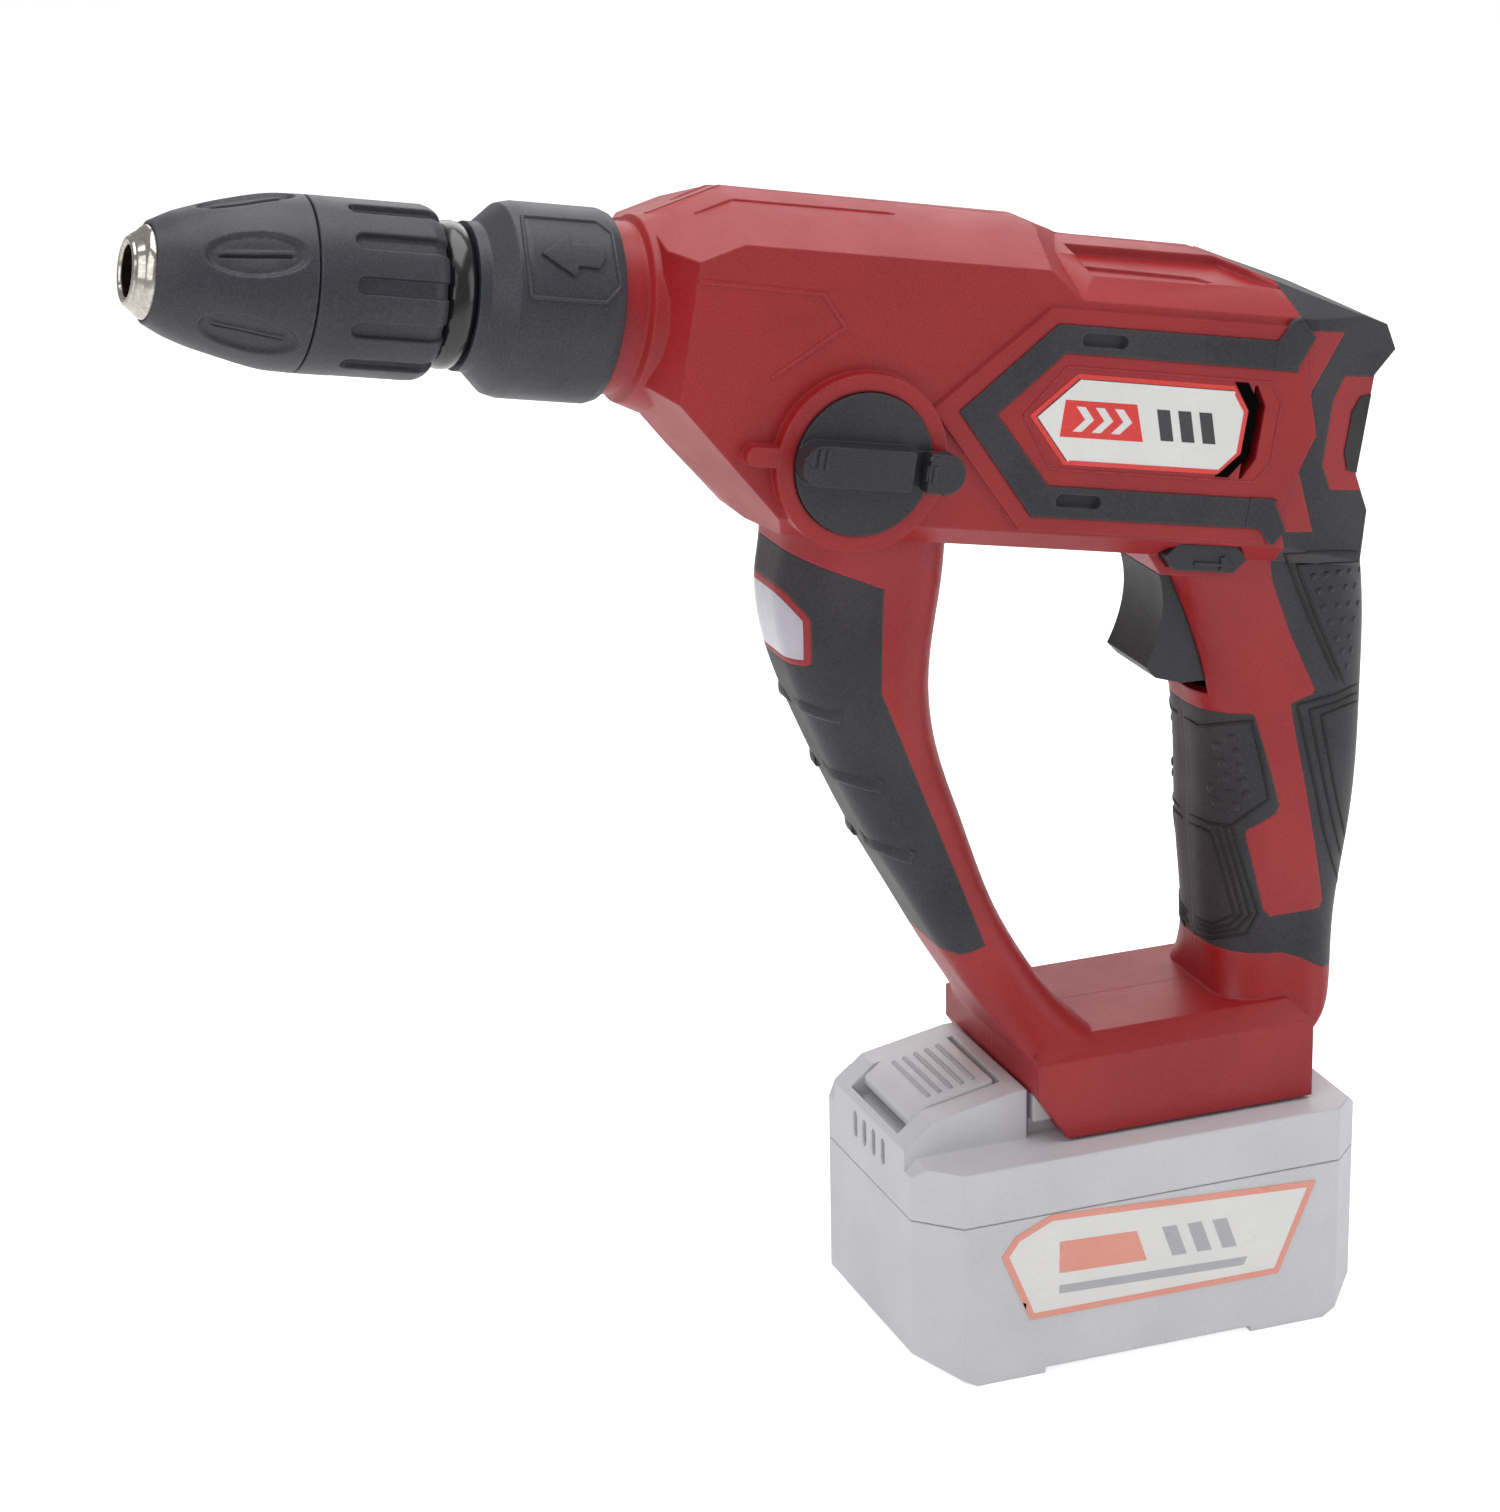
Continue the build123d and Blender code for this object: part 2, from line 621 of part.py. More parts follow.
with BuildPart() as wobble_ring:
    with BuildSketch(SIDE):
        Polygon((75, LAY_T + 8.4), (75, LAY_T + 12), (83, LAY_T + 12), (83, LAY_T + 8.4), align=None)
    revolve(axis=shaft(LAY_T))
    with BuildSketch(Plane(origin=spot(WOBBLE_S, 0, LAY_T + 10), x_dir=ACROSS, z_dir=UP)):
        Circle(FINGER_R)
    extrude(amount=17)

with BuildPart() as piston:
    with BuildSketch(SIDE):
        Polygon((PISTON[0], 0), (PISTON[0], 7.5), (PISTON[0] + 0.5, 7.95), (56, 7.95), (56, 7.2),
                (58.4, 7.2),
                (58.4, 7.95), (PISTON[1], 7.95), (PISTON[1], 5), (72, 5), (72, 0), align=None)
    revolve(axis=shaft())
    with BuildSketch(station(72)):
        RectangleRounded(13, 12, 2)
    extrude(amount=13.4)
    with BuildSketch(Plane(origin=spot(WOBBLE_S, 0, -8), x_dir=ALONG, z_dir=UP)):
        Rectangle(8.8, 2 * FINGER_R + 0.4)
    extrude(amount=16, mode=Mode.SUBTRACT)

with BuildPart() as striker:
    with BuildSketch(SIDE):
        Polygon((STRIKER[0], 0), (STRIKER[0], 4.5), (34, 5), (34, 7.95), (STRIKER[1], 7.95),
                (STRIKER[1], 0), align=None)
    revolve(axis=shaft())

with BuildPart() as impact_pin:
    with BuildSketch(SIDE):
        Polygon((-1, 0), (-1, 4), (0, 4.9), (4.9, 4.9), (7.2, 6.2), (16, 6.2), (17, 5.2),
                (20.5, 4.6), (20.5, 0), align=None)
    revolve(axis=shaft())

# ---------------------------------------------------------------- spindle, tool holder, locking sleeve

BALL_S = -20.0
BALL_R = 3.4
BALL_CENTRE_R = 7.45
COLLAR_FRONT = -33.7
COLLAR_REAR = -1.0
SHANK_FLOAT = 8.0

with BuildPart() as spindle:
    with BuildSketch(SIDE):
        Polygon((-39, SHANK_R + GAP), (-39, 10.4), (-38, HOLDER_R), (-3.2, HOLDER_R), (-3.2, 14),
                (-1.2, 14),
                (-1.2, HOLDER_R), (66, HOLDER_R), (66, HAMMER_BORE_R), (24, HAMMER_BORE_R),
                (22, 6.3), (6, 6.3),
                (4.4, SHANK_R + GAP), align=None)
    revolve(axis=shaft())
    for direction in (UP, UP * -1):
        with BuildSketch(Plane(origin=spot(BALL_S, 0, 0), x_dir=ACROSS, z_dir=direction)):
            Circle(BALL_R + GAP)
        extrude(amount=14, mode=Mode.SUBTRACT)

with BuildPart() as locking_balls:
    with Locations(spot(BALL_S, 0, BALL_CENTRE_R), spot(BALL_S, 0, -BALL_CENTRE_R)):
        Sphere(BALL_R)

with BuildPart() as lock_sleeve:
    with BuildSketch(SIDE):
        Polygon((COLLAR_FRONT, HOLDER_R + 0.1), (COLLAR_FRONT, 16.9), (-31, 17), (-26, 21.6),
                (-24.5, 22), (-23, COLLAR_R),
                (-3, COLLAR_R), (COLLAR_REAR, 21.6), (COLLAR_REAR, 20.4), (-14, 20.4),
                (-14, HOLDER_R + 0.1), align=None)
    revolve(axis=shaft())

SPRING_WIRE_R = 0.7
SPRING_TURNS = 4.5

with BuildPart() as lock_spring:
    spring_path = Helix(pitch=2.0, height=2.0 * SPRING_TURNS, radius=13.0,
                        center=tuple(spot(-13.2, 0, 0)), direction=tuple(ALONG))
    with BuildSketch(Plane(origin=spring_path @ 0, z_dir=spring_path % 0)):
        Circle(SPRING_WIRE_R)
    sweep(path=spring_path)

with BuildPart() as dust_cap:
    with BuildSketch(SIDE):
        Polygon((-40.9, SHANK_R + 0.3), (-40.9, 15.6), (-40.2, 16.5), (-35.5, 16.8), (-34.2, 16.2),
                (-34.2, HOLDER_R + GAP),
                (-38.4, HOLDER_R + GAP), (-39.1, 10.4), (-39.1, SHANK_R + 0.3), align=None)
    revolve(axis=shaft())

with BuildPart() as spindle_seal:
    with BuildSketch(station(-0.2)):
        Circle(15.0)
        Circle(HOLDER_R + GAP, mode=Mode.SUBTRACT)
    extrude(amount=3.2)

with BuildPart() as spindle_bearing:
    with BuildSketch(SIDE):
        Polygon((3.4, HOLDER_R + GAP), (3.4, 15), (11.4, 15), (11.4, HOLDER_R + GAP), align=None)
    revolve(axis=shaft())

# ---------------------------------------------------------------- chuck

CHUCK_ANGLES = (90, 210, 330)


def way_plane(angle, s):
    """Plane square to a jaw way, centred on the way's middle line at s."""
    outward = ACROSS * cos(radians(angle)) + UP * sin(radians(angle))
    radius = (s - WAY_APEX) * tan(radians(JAW_ANGLE))
    direction = ALONG * cos(radians(JAW_ANGLE)) + outward * sin(radians(JAW_ANGLE))
    return Plane(origin=spot(s, 0, 0) + outward * radius, x_dir=ALONG.cross(outward), z_dir=direction)


def jaw(angle):
    """One jaw: a rod along its way, ground to a wedge whose edge grips parallel to the axis."""
    edge_r = JAW_TRAVEL * sin(radians(JAW_ANGLE)) + 0.08
    with BuildPart() as piece:
        with BuildSketch(way_plane(angle, JAW_TIP - 2)):
            Circle(JAW_R)
        extrude(amount=JAW_LENGTH)
        with BuildSketch(Plane(origin=spot(JAW_TIP, 0, 0), x_dir=ACROSS, z_dir=ALONG)) as wedge:
            with Locations(Rotation(0, 0, angle)):
                Polygon((edge_r + 0.25, -0.45), (30, -41.1), (30, 41.1), (edge_r + 0.25, 0.45),
                        align=None)
        extrude(amount=60, mode=Mode.INTERSECT)
    return piece.part


with BuildPart() as jaw_1:
    add(jaw(CHUCK_ANGLES[0]))
with BuildPart() as jaw_2:
    add(jaw(CHUCK_ANGLES[1]))
with BuildPart() as jaw_3:
    add(jaw(CHUCK_ANGLES[2]))

with BuildPart() as chuck_body:
    with BuildSketch(SIDE):
        Polygon((CHUCK_FRONT, BIT_BORE_R), (CHUCK_FRONT, 7.6), (-109, 8.2), (-105.6, 10.4),
                (-98.5, 10.4),
                (-98.5, 12.4), (-78.3, 12.4),
                (-78.3, 10.5), (-71.6, 10.5), (-71.6, 17), (-43, 17), (-43, 4.8), (-64, 4.8),
                (-66, BIT_BORE_R),
                align=None)
    revolve(axis=shaft())
    for way_angle in CHUCK_ANGLES:
        with BuildSketch(way_plane(way_angle, -113)):
            Circle(JAW_R + GAP)
        extrude(amount=54, mode=Mode.SUBTRACT)

with BuildPart() as chuck_nut:
    with BuildSketch(SIDE):
        Polygon((-78, 11.9), (-78, 16.4), (-71.9, 16.4), (-71.9, 13.6), align=None)
    revolve(axis=shaft())

SCOOP_S = -87.5

with BuildPart() as chuck_front_sleeve:
    with BuildSketch(SIDE):
        with BuildLine():
            Polyline((-78.2, 12.5), (-98.6, 12.5), (-98.6, 10.5), (-105.4, 10.5), (-105.4, 11.4))
            ogive = Spline((-105.4, 11.4), (-100, 14.0), (-90, 17.1), (-80, 19.3),
                           (SLEEVE_SPLIT - 0.2, CHUCK_R))
            Polyline(ogive @ 1, (SLEEVE_SPLIT - 0.2, 16.5), (-78.2, 16.5), (-78.2, 12.5))
        make_face()
    revolve(axis=shaft())
    for scoop in range(SCOOPS):
        turn = radians(20 + 60 * scoop)
        outward = ACROSS * -cos(turn) + UP * sin(turn)
        scoop_plane = Plane(origin=spot(SCOOP_S, 0, 0) + outward * 16.4, x_dir=ALONG, z_dir=outward)
        with BuildSketch(scoop_plane):
            Ellipse(9.0, 2.9)
        extrude(amount=6, taper=-38, mode=Mode.SUBTRACT)

with BuildPart() as chuck_rear_sleeve:
    with BuildSketch(SIDE):
        Polygon((SLEEVE_SPLIT + 0.2, 17.0 + GAP), (SLEEVE_SPLIT + 0.2, CHUCK_R - 0.3),
                (SLEEVE_SPLIT + 0.5, CHUCK_R),
                (-44.5, CHUCK_R), (-42, 18.8), (CHUCK_REAR, 17.4), (CHUCK_REAR, 14), (-42.8, 14),
                (-42.8, 17.0 + GAP),
                align=None)
    revolve(axis=shaft())
    for groove in range(GROOVES):
        turn = radians(5.5 + 30 * groove)
        outward = ACROSS * -cos(turn) + UP * sin(turn)
        with BuildSketch(Plane(origin=spot(-54, 0, 0) + outward * (CHUCK_R - 1.1), x_dir=ALONG,
                               z_dir=outward)):
            SlotOverall(29, 4.2)
        extrude(amount=4, mode=Mode.SUBTRACT)

with BuildPart() as shank_adaptor:
    with BuildSketch(SIDE):
        Polygon((-63.5, 0), (-63.5, 4.7), (-42.9, 4.7), (-42.9, 9), (-41.2, 9), (-41.2, SHANK_R),
                (-4, SHANK_R),
                (-2, 4), (-2, 0), align=None)
    revolve(axis=shaft())
    groove_front = BALL_S - BALL_R - 0.4
    groove_rear = BALL_S + BALL_R + SHANK_FLOAT + 0.4
    for direction in (UP, UP * -1):
        with BuildSketch(Plane(origin=spot((groove_front + groove_rear) / 2, 0, 0) + direction * 3.95,
                               x_dir=ALONG, z_dir=direction)):
            SlotOverall(groove_rear - groove_front, 7.2)
        extrude(amount=4, mode=Mode.SUBTRACT)

# ---------------------------------------------------------------- gear case plates and bearings

FRONT_PLATE = (27.5, 32.5)  # its flange; a neck tube reaches forward from it
REAR_PLATE = (96.0, 101.0)
LAY_BEARING_R = 6.0

with BuildPart() as plate_space:
    add(envelope(WALL + SEAT))

with BuildPart() as front_bearing_plate:
    add(plate_space.part)
    with BuildSketch(station(FRONT_PLATE[0])):
        Rectangle(80, 120)
    extrude(amount=FRONT_PLATE[1] - FRONT_PLATE[0], mode=Mode.INTERSECT)
    with BuildSketch(station(-0.5)):
        Circle(NECK_BORE_R - GAP)
    extrude(amount=30)
    with BuildSketch(station(-1)):
        Circle(15.0 + GAP)
    extrude(amount=14.4, mode=Mode.SUBTRACT)
    with BuildSketch(station(-1)):
        Circle(HOLDER_R + 0.6)
    extrude(amount=40, mode=Mode.SUBTRACT)
    with BuildSketch(station(FRONT_PLATE[0] + 0.8, LAY_T)):
        Circle(LAY_BEARING_R + GAP)
    extrude(amount=10, mode=Mode.SUBTRACT)

with BuildPart() as rear_bearing_plate:
    add(plate_space.part)
    with BuildSketch(station(REAR_PLATE[0])):
        Rectangle(80, 120)
    extrude(amount=REAR_PLATE[1] - REAR_PLATE[0], mode=Mode.INTERSECT)
    with BuildSketch(station(90)):
        with Locations((0, MOTOR_T)):
            Circle(3.4)
    extrude(amount=20, mode=Mode.SUBTRACT)
    with BuildSketch(station(90, LAY_T)):
        Circle(LAY_BEARING_R + GAP)
    extrude(amount=10.2, mode=Mode.SUBTRACT)
    # room for the screw bosses
    with BuildSketch(UPRIGHT):
        with Locations(*SCREW_SPOTS):
            Circle(BOSS_R + SEAT)
    extrude(amount=60, both=True, mode=Mode.SUBTRACT)

with BuildPart() as intermediate_bearings:
    for start in (28.4, 96.1):
        with BuildSketch(station(start, LAY_T)):
            Circle(LAY_BEARING_R)
            Circle(4.0 + GAP, mode=Mode.SUBTRACT)
        extrude(amount=4.0)

# ---------------------------------------------------------------- motor

MOTOR_FRONT = 108.0
MOTOR_END = 156.0
SHAFT_R = 2.0

MAGNET_OUTER_R = 19.0
MAGNET_INNER_R = 15.8
MAGNET_PARTING = 16.0

with BuildPart() as motor_can:
    with BuildSketch(SIDE):
        Polygon((MOTOR_FRONT, MOTOR_T + 6.05), (MOTOR_FRONT, MOTOR_T + MOTOR_R - 1),
                (MOTOR_FRONT + 1, MOTOR_T + MOTOR_R),
                (MOTOR_END, MOTOR_T + MOTOR_R), (MOTOR_END, MOTOR_T + 19.2), (110, MOTOR_T + 19.2),
                (110, MOTOR_T + 8),
                (112, MOTOR_T + 8), (112, MOTOR_T + 6.05), align=None)
    revolve(axis=shaft(MOTOR_T))

with BuildPart() as motor_magnets:
    # two arc magnets, parted above and below the shaft
    with BuildSketch(station(114, MOTOR_T)):
        Circle(MAGNET_OUTER_R)
        Circle(MAGNET_INNER_R, mode=Mode.SUBTRACT)
        Rectangle(MAGNET_PARTING, 2 * MOTOR_R, mode=Mode.SUBTRACT)
    extrude(amount=36)

with BuildPart() as motor_rotor:
    with BuildSketch(SIDE):
        Polygon((86, MOTOR_T), (86, MOTOR_T + SHAFT_R), (113, MOTOR_T + SHAFT_R),
                (113, MOTOR_T + 5), (116, MOTOR_T + 12),
                (117, MOTOR_T + 15), (147, MOTOR_T + 15), (148, MOTOR_T + 12), (150, MOTOR_T + 7),
                (158, MOTOR_T + 7), (158, MOTOR_T + SHAFT_R), (168.5, MOTOR_T + SHAFT_R),
                (168.5, MOTOR_T), align=None)
    revolve(axis=shaft(MOTOR_T))

with BuildPart() as motor_fan:
    with BuildSketch(station(103, MOTOR_T)):
        Circle(18)
        Circle(SHAFT_R + GAP, mode=Mode.SUBTRACT)
    extrude(amount=1)
    with BuildSketch(station(104, MOTOR_T)):
        Circle(5)
        Circle(SHAFT_R + GAP, mode=Mode.SUBTRACT)
        with PolarLocations(10.4, 9):
            Rectangle(12.6, 1.1)
    extrude(amount=3)

with BuildPart() as motor_end_cap:
    with BuildSketch(SIDE):
        Polygon((156.1, MOTOR_T + 18.6), (156.1, MOTOR_T + 20.9), (164, MOTOR_T + 20.9),
                (168, MOTOR_T + 12),
                (168, MOTOR_T + 5.05), (162.5, MOTOR_T + 5.05), (162.5, MOTOR_T + 8),
                (164.5, MOTOR_T + 9),
                (161.5, MOTOR_T + 18.6), align=None)
    revolve(axis=shaft(MOTOR_T))

with BuildPart() as motor_bearings:
    for start, outer in ((108.1, 6.0), (162.6, 5.0)):
        with BuildSketch(station(start, MOTOR_T)):
            Circle(outer)
            Circle(SHAFT_R + GAP, mode=Mode.SUBTRACT)
        extrude(amount=3.8)

# ---------------------------------------------------------------- trigger, switch, direction slider, light


with BuildPart() as trigger:
    with BuildSketch(UPRIGHT):
        with BuildLine():
            face = Spline((12.5, 195.8), (13.6, 187), (12.2, 179.5), (9.2, 172.5))
            Polyline(face @ 1, (12, 169.4), (19, 167.2), (27, 167), (27, 195.8), face @ 0)
        make_face()
    extrude(amount=TRIGGER_HALF, both=True)

with BuildPart() as trigger_spring:
    trigger_coil = Helix(pitch=1.6, height=5.6, radius=3.2, center=(27.7, 0, 182), direction=(1, 0, 0))
    with BuildSketch(Plane(origin=trigger_coil @ 0, z_dir=trigger_coil % 0)):
        Circle(0.5)
    sweep(path=trigger_coil)

with BuildPart() as switch_module:
    with BuildSketch(UPRIGHT):
        Polygon((34, 170), (34, 194), (40, 198), (54, 198), (54, 170), align=None)
    extrude(amount=11, both=True)

with BuildPart() as direction_slider:
    with BuildSketch(SIDE):
        with Locations((DIRECTION_S, DIRECTION_T)):
            Polygon(*SLIDER_OUTLINE, align=None)
    extrude(amount=26.5, both=True)

with BuildPart() as led_board:
    with BuildSketch(UPRIGHT.offset(-10)):
        with Locations(Location((-76.5, 194.5), 12)):
            Rectangle(1.6, 14)
    extrude(amount=20)
    with BuildSketch(UPRIGHT.offset(-2.5)):
        with Locations(Location((-78.7, 195), 12)):
            Rectangle(3, 5)
    extrude(amount=5)

WIRE_R = 1.3

with BuildPart() as wiring:
    for side_y in (-3.0, 3.0):
        with BuildLine():
            lead = Spline((46, side_y, 168.5), (47, side_y, 150), (45, side_y, 120),
                          (40, side_y, 100), (38, side_y, 80.5))
        with BuildSketch(Plane(origin=lead @ 0, z_dir=lead % 0)):
            Circle(WIRE_R)
        sweep(path=lead.edge())

# ---------------------------------------------------------------- terminal block

BLADE_SPOTS = (-12.0, -4.0, 4.0, 12.0)
BLOCK_FRONT = 41.2

with BuildPart() as terminal_block:
    with BuildSketch(UPRIGHT):
        Polygon((BLOCK_FRONT, 62.4), (BLOCK_FRONT, 73), (34, 73), (34, 79), (45.1, 79),
                (45.1, 62.4), align=None)
    extrude(amount=18, both=True)
    for blade_y in BLADE_SPOTS:
        with BuildSketch(UPRIGHT.offset(-blade_y - 0.4)):
            Polygon((20, 64.6), (18, 65.6), (18, 67.6), (20, 68.6), (42, 68.6), (42, 64.6), align=None)
        extrude(amount=0.8)

# ---------------------------------------------------------------- battery pack

PACK_CORNER_FRONT = 10.0
PACK_CORNER_REAR = 8.0
PACK_WALL = 2.2
PACK_PLAN = [
    (-PACK_HALF_X, -PACK_HALF_Y + PACK_CORNER_FRONT), (-PACK_HALF_X + PACK_CORNER_FRONT, -PACK_HALF_Y),
    (PACK_HALF_X - PACK_CORNER_REAR, -PACK_HALF_Y), (PACK_HALF_X, -PACK_HALF_Y + PACK_CORNER_REAR),
    (PACK_HALF_X, PACK_HALF_Y - PACK_CORNER_REAR), (PACK_HALF_X - PACK_CORNER_REAR, PACK_HALF_Y),
    (-PACK_HALF_X + PACK_CORNER_FRONT, PACK_HALF_Y), (-PACK_HALF_X, PACK_HALF_Y - PACK_CORNER_FRONT),
]
LOWER_PROFILE = [
    (-PACK_HALF_X, 7), (-47, 0), (49, 0), (PACK_HALF_X, 7),
    (PACK_HALF_X, PACK_SEAM - 0.15), (-PACK_HALF_X, PACK_SEAM - 0.15),
]
UPPER_PROFILE = [
    (-PACK_HALF_X, PACK_SEAM + 0.15), (PACK_HALF_X, PACK_SEAM + 0.15), (PACK_HALF_X, 55),
    (PACK_HALF_X - 3, PACK_TOP), (-PACK_HALF_X + 3, PACK_TOP), (-PACK_HALF_X, 55),
]
HUMP_PROFILE = [(-PACK_HALF_X, 50), (-PACK_HALF_X, 60.5), (-53, 67), (-30.5, 71.2), (-27.6, 71.2),
                (-27.6, 50)]
HUMP_HALF = 23.0
LATCH_RECESS = [(-57, 58.6), (-50.5, 60.2), (-32, 64), (-30, 80), (-70, 80)]
LATCH_HALF = 15.0
PACK_LABEL = [(-39, 34), (-36, 38), (-27, 42), (44, 38), (35, 16.5), (-32, 17)]

with BuildPart() as battery_lower_case:
    with BuildSketch(UPRIGHT):
        Polygon(*LOWER_PROFILE, align=None)
    extrude(amount=PACK_HALF_Y, both=True)
    with BuildSketch(level(-1)):
        Polygon(*PACK_PLAN, align=None)
    extrude(amount=80, mode=Mode.INTERSECT)
    # hollow for the cells
    with BuildSketch(level(PACK_WALL)):
        Rectangle(2 * (PACK_HALF_X - 12.3), 2 * (PACK_HALF_Y - PACK_WALL))
    extrude(amount=60, mode=Mode.SUBTRACT)
    with BuildSketch(level(12)):
        Polygon(*PACK_PLAN, align=None)
        offset(amount=-PACK_WALL, kind=Kind.INTERSECTION, mode=Mode.REPLACE)
    extrude(amount=60, mode=Mode.SUBTRACT)
    # relief under the long edges
    for sign in (1, -1):
        with BuildSketch(level(0)):
            with Locations((0, sign * (PACK_HALF_Y - 2))):
                Rectangle(57, 10)
        extrude(amount=1.5, mode=Mode.SUBTRACT)
    for sign in (1, -1):
        with BuildSketch(UPRIGHT.offset(sign * (PACK_HALF_Y - 0.6))):
            Polygon(*PACK_LABEL, align=None)
            offset(amount=SEAT, kind=Kind.INTERSECTION, mode=Mode.REPLACE)
        extrude(amount=sign * 2, mode=Mode.SUBTRACT)

with BuildPart() as battery_labels:
    for sign in (1, -1):
        with BuildSketch(UPRIGHT.offset(sign * (PACK_HALF_Y - 0.6))):
            Polygon(*PACK_LABEL, align=None)
        extrude(amount=sign * 0.8)

with BuildPart() as battery_upper_case:
    with BuildSketch(UPRIGHT):
        Polygon(*UPPER_PROFILE, align=None)
    extrude(amount=PACK_HALF_Y, both=True)
    with BuildSketch(level(0)):
        Polygon(*PACK_PLAN, align=None)
    extrude(amount=100, mode=Mode.INTERSECT)
    with BuildSketch(UPRIGHT):
        Polygon(*HUMP_PROFILE, align=None)
    extrude(amount=HUMP_HALF, both=True)
    # rail tower
    with BuildSketch(level(PACK_TOP)):
        with Locations((7, 0)):
            Rectangle(66, 2 * RAIL_HALF - 1.0)
    extrude(amount=TOWER_TOP - PACK_TOP)
    with BuildSketch(level(FOOT_BOTTOM + WALL + 0.4)):
        with Locations((7, 0)):
            Rectangle(66, 2 * TOWER_HALF)
    extrude(amount=TOWER_TOP - FOOT_BOTTOM - WALL - 0.4)
    # hollow inside
    with BuildSketch(level(PACK_SEAM)):
        Polygon(*PACK_PLAN, align=None)
        offset(amount=-PACK_WALL, kind=Kind.INTERSECTION, mode=Mode.REPLACE)
    extrude(amount=PACK_TOP - PACK_SEAM - PACK_WALL, mode=Mode.SUBTRACT)
    with BuildSketch(level(PACK_SEAM)):
        with Locations((7, 0)):
            Rectangle(62, 2 * RAIL_HALF - 5)
    extrude(amount=TOWER_TOP - PACK_SEAM - 2, mode=Mode.SUBTRACT)
    with BuildSketch(UPRIGHT):
        Polygon(*LATCH_RECESS, align=None)
    extrude(amount=LATCH_HALF + 0.3, both=True, mode=Mode.SUBTRACT)
    for blade_y in BLADE_SPOTS:
        with BuildSketch(level(63.5)):
            with Locations((34, blade_y)):
                Rectangle(40, 2.6)
        extrude(amount=20, mode=Mode.SUBTRACT)
    # vent slots in the front of the hump
    for slot_y in (-9, -3, 3, 9):
        with BuildSketch(Plane.YZ.offset(-PACK_HALF_X - 2)):
            with Locations((slot_y, 54.5)):
                SlotOverall(7, 2.4, rotation=90)
        extrude(amount=5, mode=Mode.SUBTRACT)

with BuildPart() as battery_latch:
    with BuildSketch(UPRIGHT):
        Polygon((-55.6, 62.0), (-51, 63.3), (-33, 67.2), (-33, 71.8), (-51, 68), (-55.6, 64.6),
                align=None)
    extrude(amount=LATCH_HALF, both=True)

with BuildPart() as battery_cells:
    for column in range(5):
        for row in range(2):
            cell_x = (column - 2) * (2 * CELL_R + 0.4)
            cell_z = PACK_WALL + 0.2 + CELL_R + row * (2 * CELL_R + 0.4)
            with BuildSketch(Plane(origin=(cell_x, -CELL_LENGTH / 2, cell_z), x_dir=(1, 0, 0),
                                   z_dir=(0, 1, 0))):
                Circle(CELL_R)
            extrude(amount=CELL_LENGTH)

with BuildPart() as battery_board:
    with BuildSketch(level(45)):
        with Locations((7, 0)):
            Rectangle(58, 2 * RAIL_HALF - 8)
    extrude(amount=1.6)
    for blade_y in BLADE_SPOTS:
        for sign in (1, -1):
            with BuildSketch(level(46.6)):
                with Locations((26, blade_y + sign * 0.85)):
                    Rectangle(9, 0.6)
            extrude(amount=20.4)

with BuildPart() as housing_screws:
    with BuildSketch(UPRIGHT.offset(-SCREW_TIP_Y - 1)):
        with Locations(*SCREW_SPOTS):
            Circle(SCREW_R)
    extrude(amount=SCREW_TIP_Y - SCREW_HEAD_Y)
    with BuildSketch(UPRIGHT.offset(-SCREW_HEAD_Y - GAP)):
        with Locations(*SCREW_SPOTS):
            Circle(SCREW_HEAD_R)
            RegularPolygon(1.6, 6, mode=Mode.SUBTRACT)
    extrude(amount=-SCREW_HEAD_HEIGHT)

# ---------------------------------------------------------------- write the pieces

PIECES = {
    "left_housing": left_housing,
    "right_housing": right_housing,
    "left_grip_rubber": left_grip_rubber,
    "right_grip_rubber": right_grip_rubber,
    "left_pillar_rubber": left_pillar_rubber,
    "right_pillar_rubber": right_pillar_rubber,
    "left_motor_band": left_motor_band,
    "right_motor_band": right_motor_band,
    "left_label": left_label,
    "right_label": right_label,
    "housing_screws": housing_screws,
    "mode_knob": mode_knob,
    "mode_lock_button": mode_lock_button,
    "led_lens": led_lens,
    "led_board": led_board,
    "trigger": trigger,
    "trigger_spring": trigger_spring,
    "switch_module": switch_module,
    "direction_slider": direction_slider,
    "wiring": wiring,
    "terminal_block": terminal_block,
    "battery_lower_case": battery_lower_case,
    "battery_upper_case": battery_upper_case,
    "battery_cells": battery_cells,
    "battery_board": battery_board,
    "battery_latch": battery_latch,
    "battery_labels": battery_labels,
    "front_bearing_plate": front_bearing_plate,
    "rear_bearing_plate": rear_bearing_plate,
    "intermediate_bearings": intermediate_bearings,
    "motor_can": motor_can,
    "motor_magnets": motor_magnets,
    "motor_rotor": motor_rotor,
    "motor_fan": motor_fan,
    "motor_pinion": motor_pinion,
    "motor_end_cap": motor_end_cap,
    "motor_bearings": motor_bearings,
    "intermediate_shaft": intermediate_shaft,
    "intermediate_gear": intermediate_gear,
    "clutch_sleeve": clutch_sleeve,
    "wobble_ring": wobble_ring,
    "piston": piston,
    "striker": striker,
    "impact_pin": impact_pin,
    "spindle": spindle,
    "spindle_gear": spindle_gear,
    "spindle_bearing": spindle_bearing,
    "spindle_seal": spindle_seal,
    "locking_balls": locking_balls,
    "lock_sleeve": lock_sleeve,
    "lock_spring": lock_spring,
    "dust_cap": dust_cap,
    "shank_adaptor": shank_adaptor,
    "chuck_body": chuck_body,
    "chuck_nut": chuck_nut,
    "chuck_front_sleeve": chuck_front_sleeve,
    "chuck_rear_sleeve": chuck_rear_sleeve,
    "jaw_1": jaw_1,
    "jaw_2": jaw_2,
    "jaw_3": jaw_3,
}

for piece_name, piece in PIECES.items():
    piece.part.label = piece_name
    export_step(piece.part, f"parts/{piece_name}.step")
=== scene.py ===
import json
import math

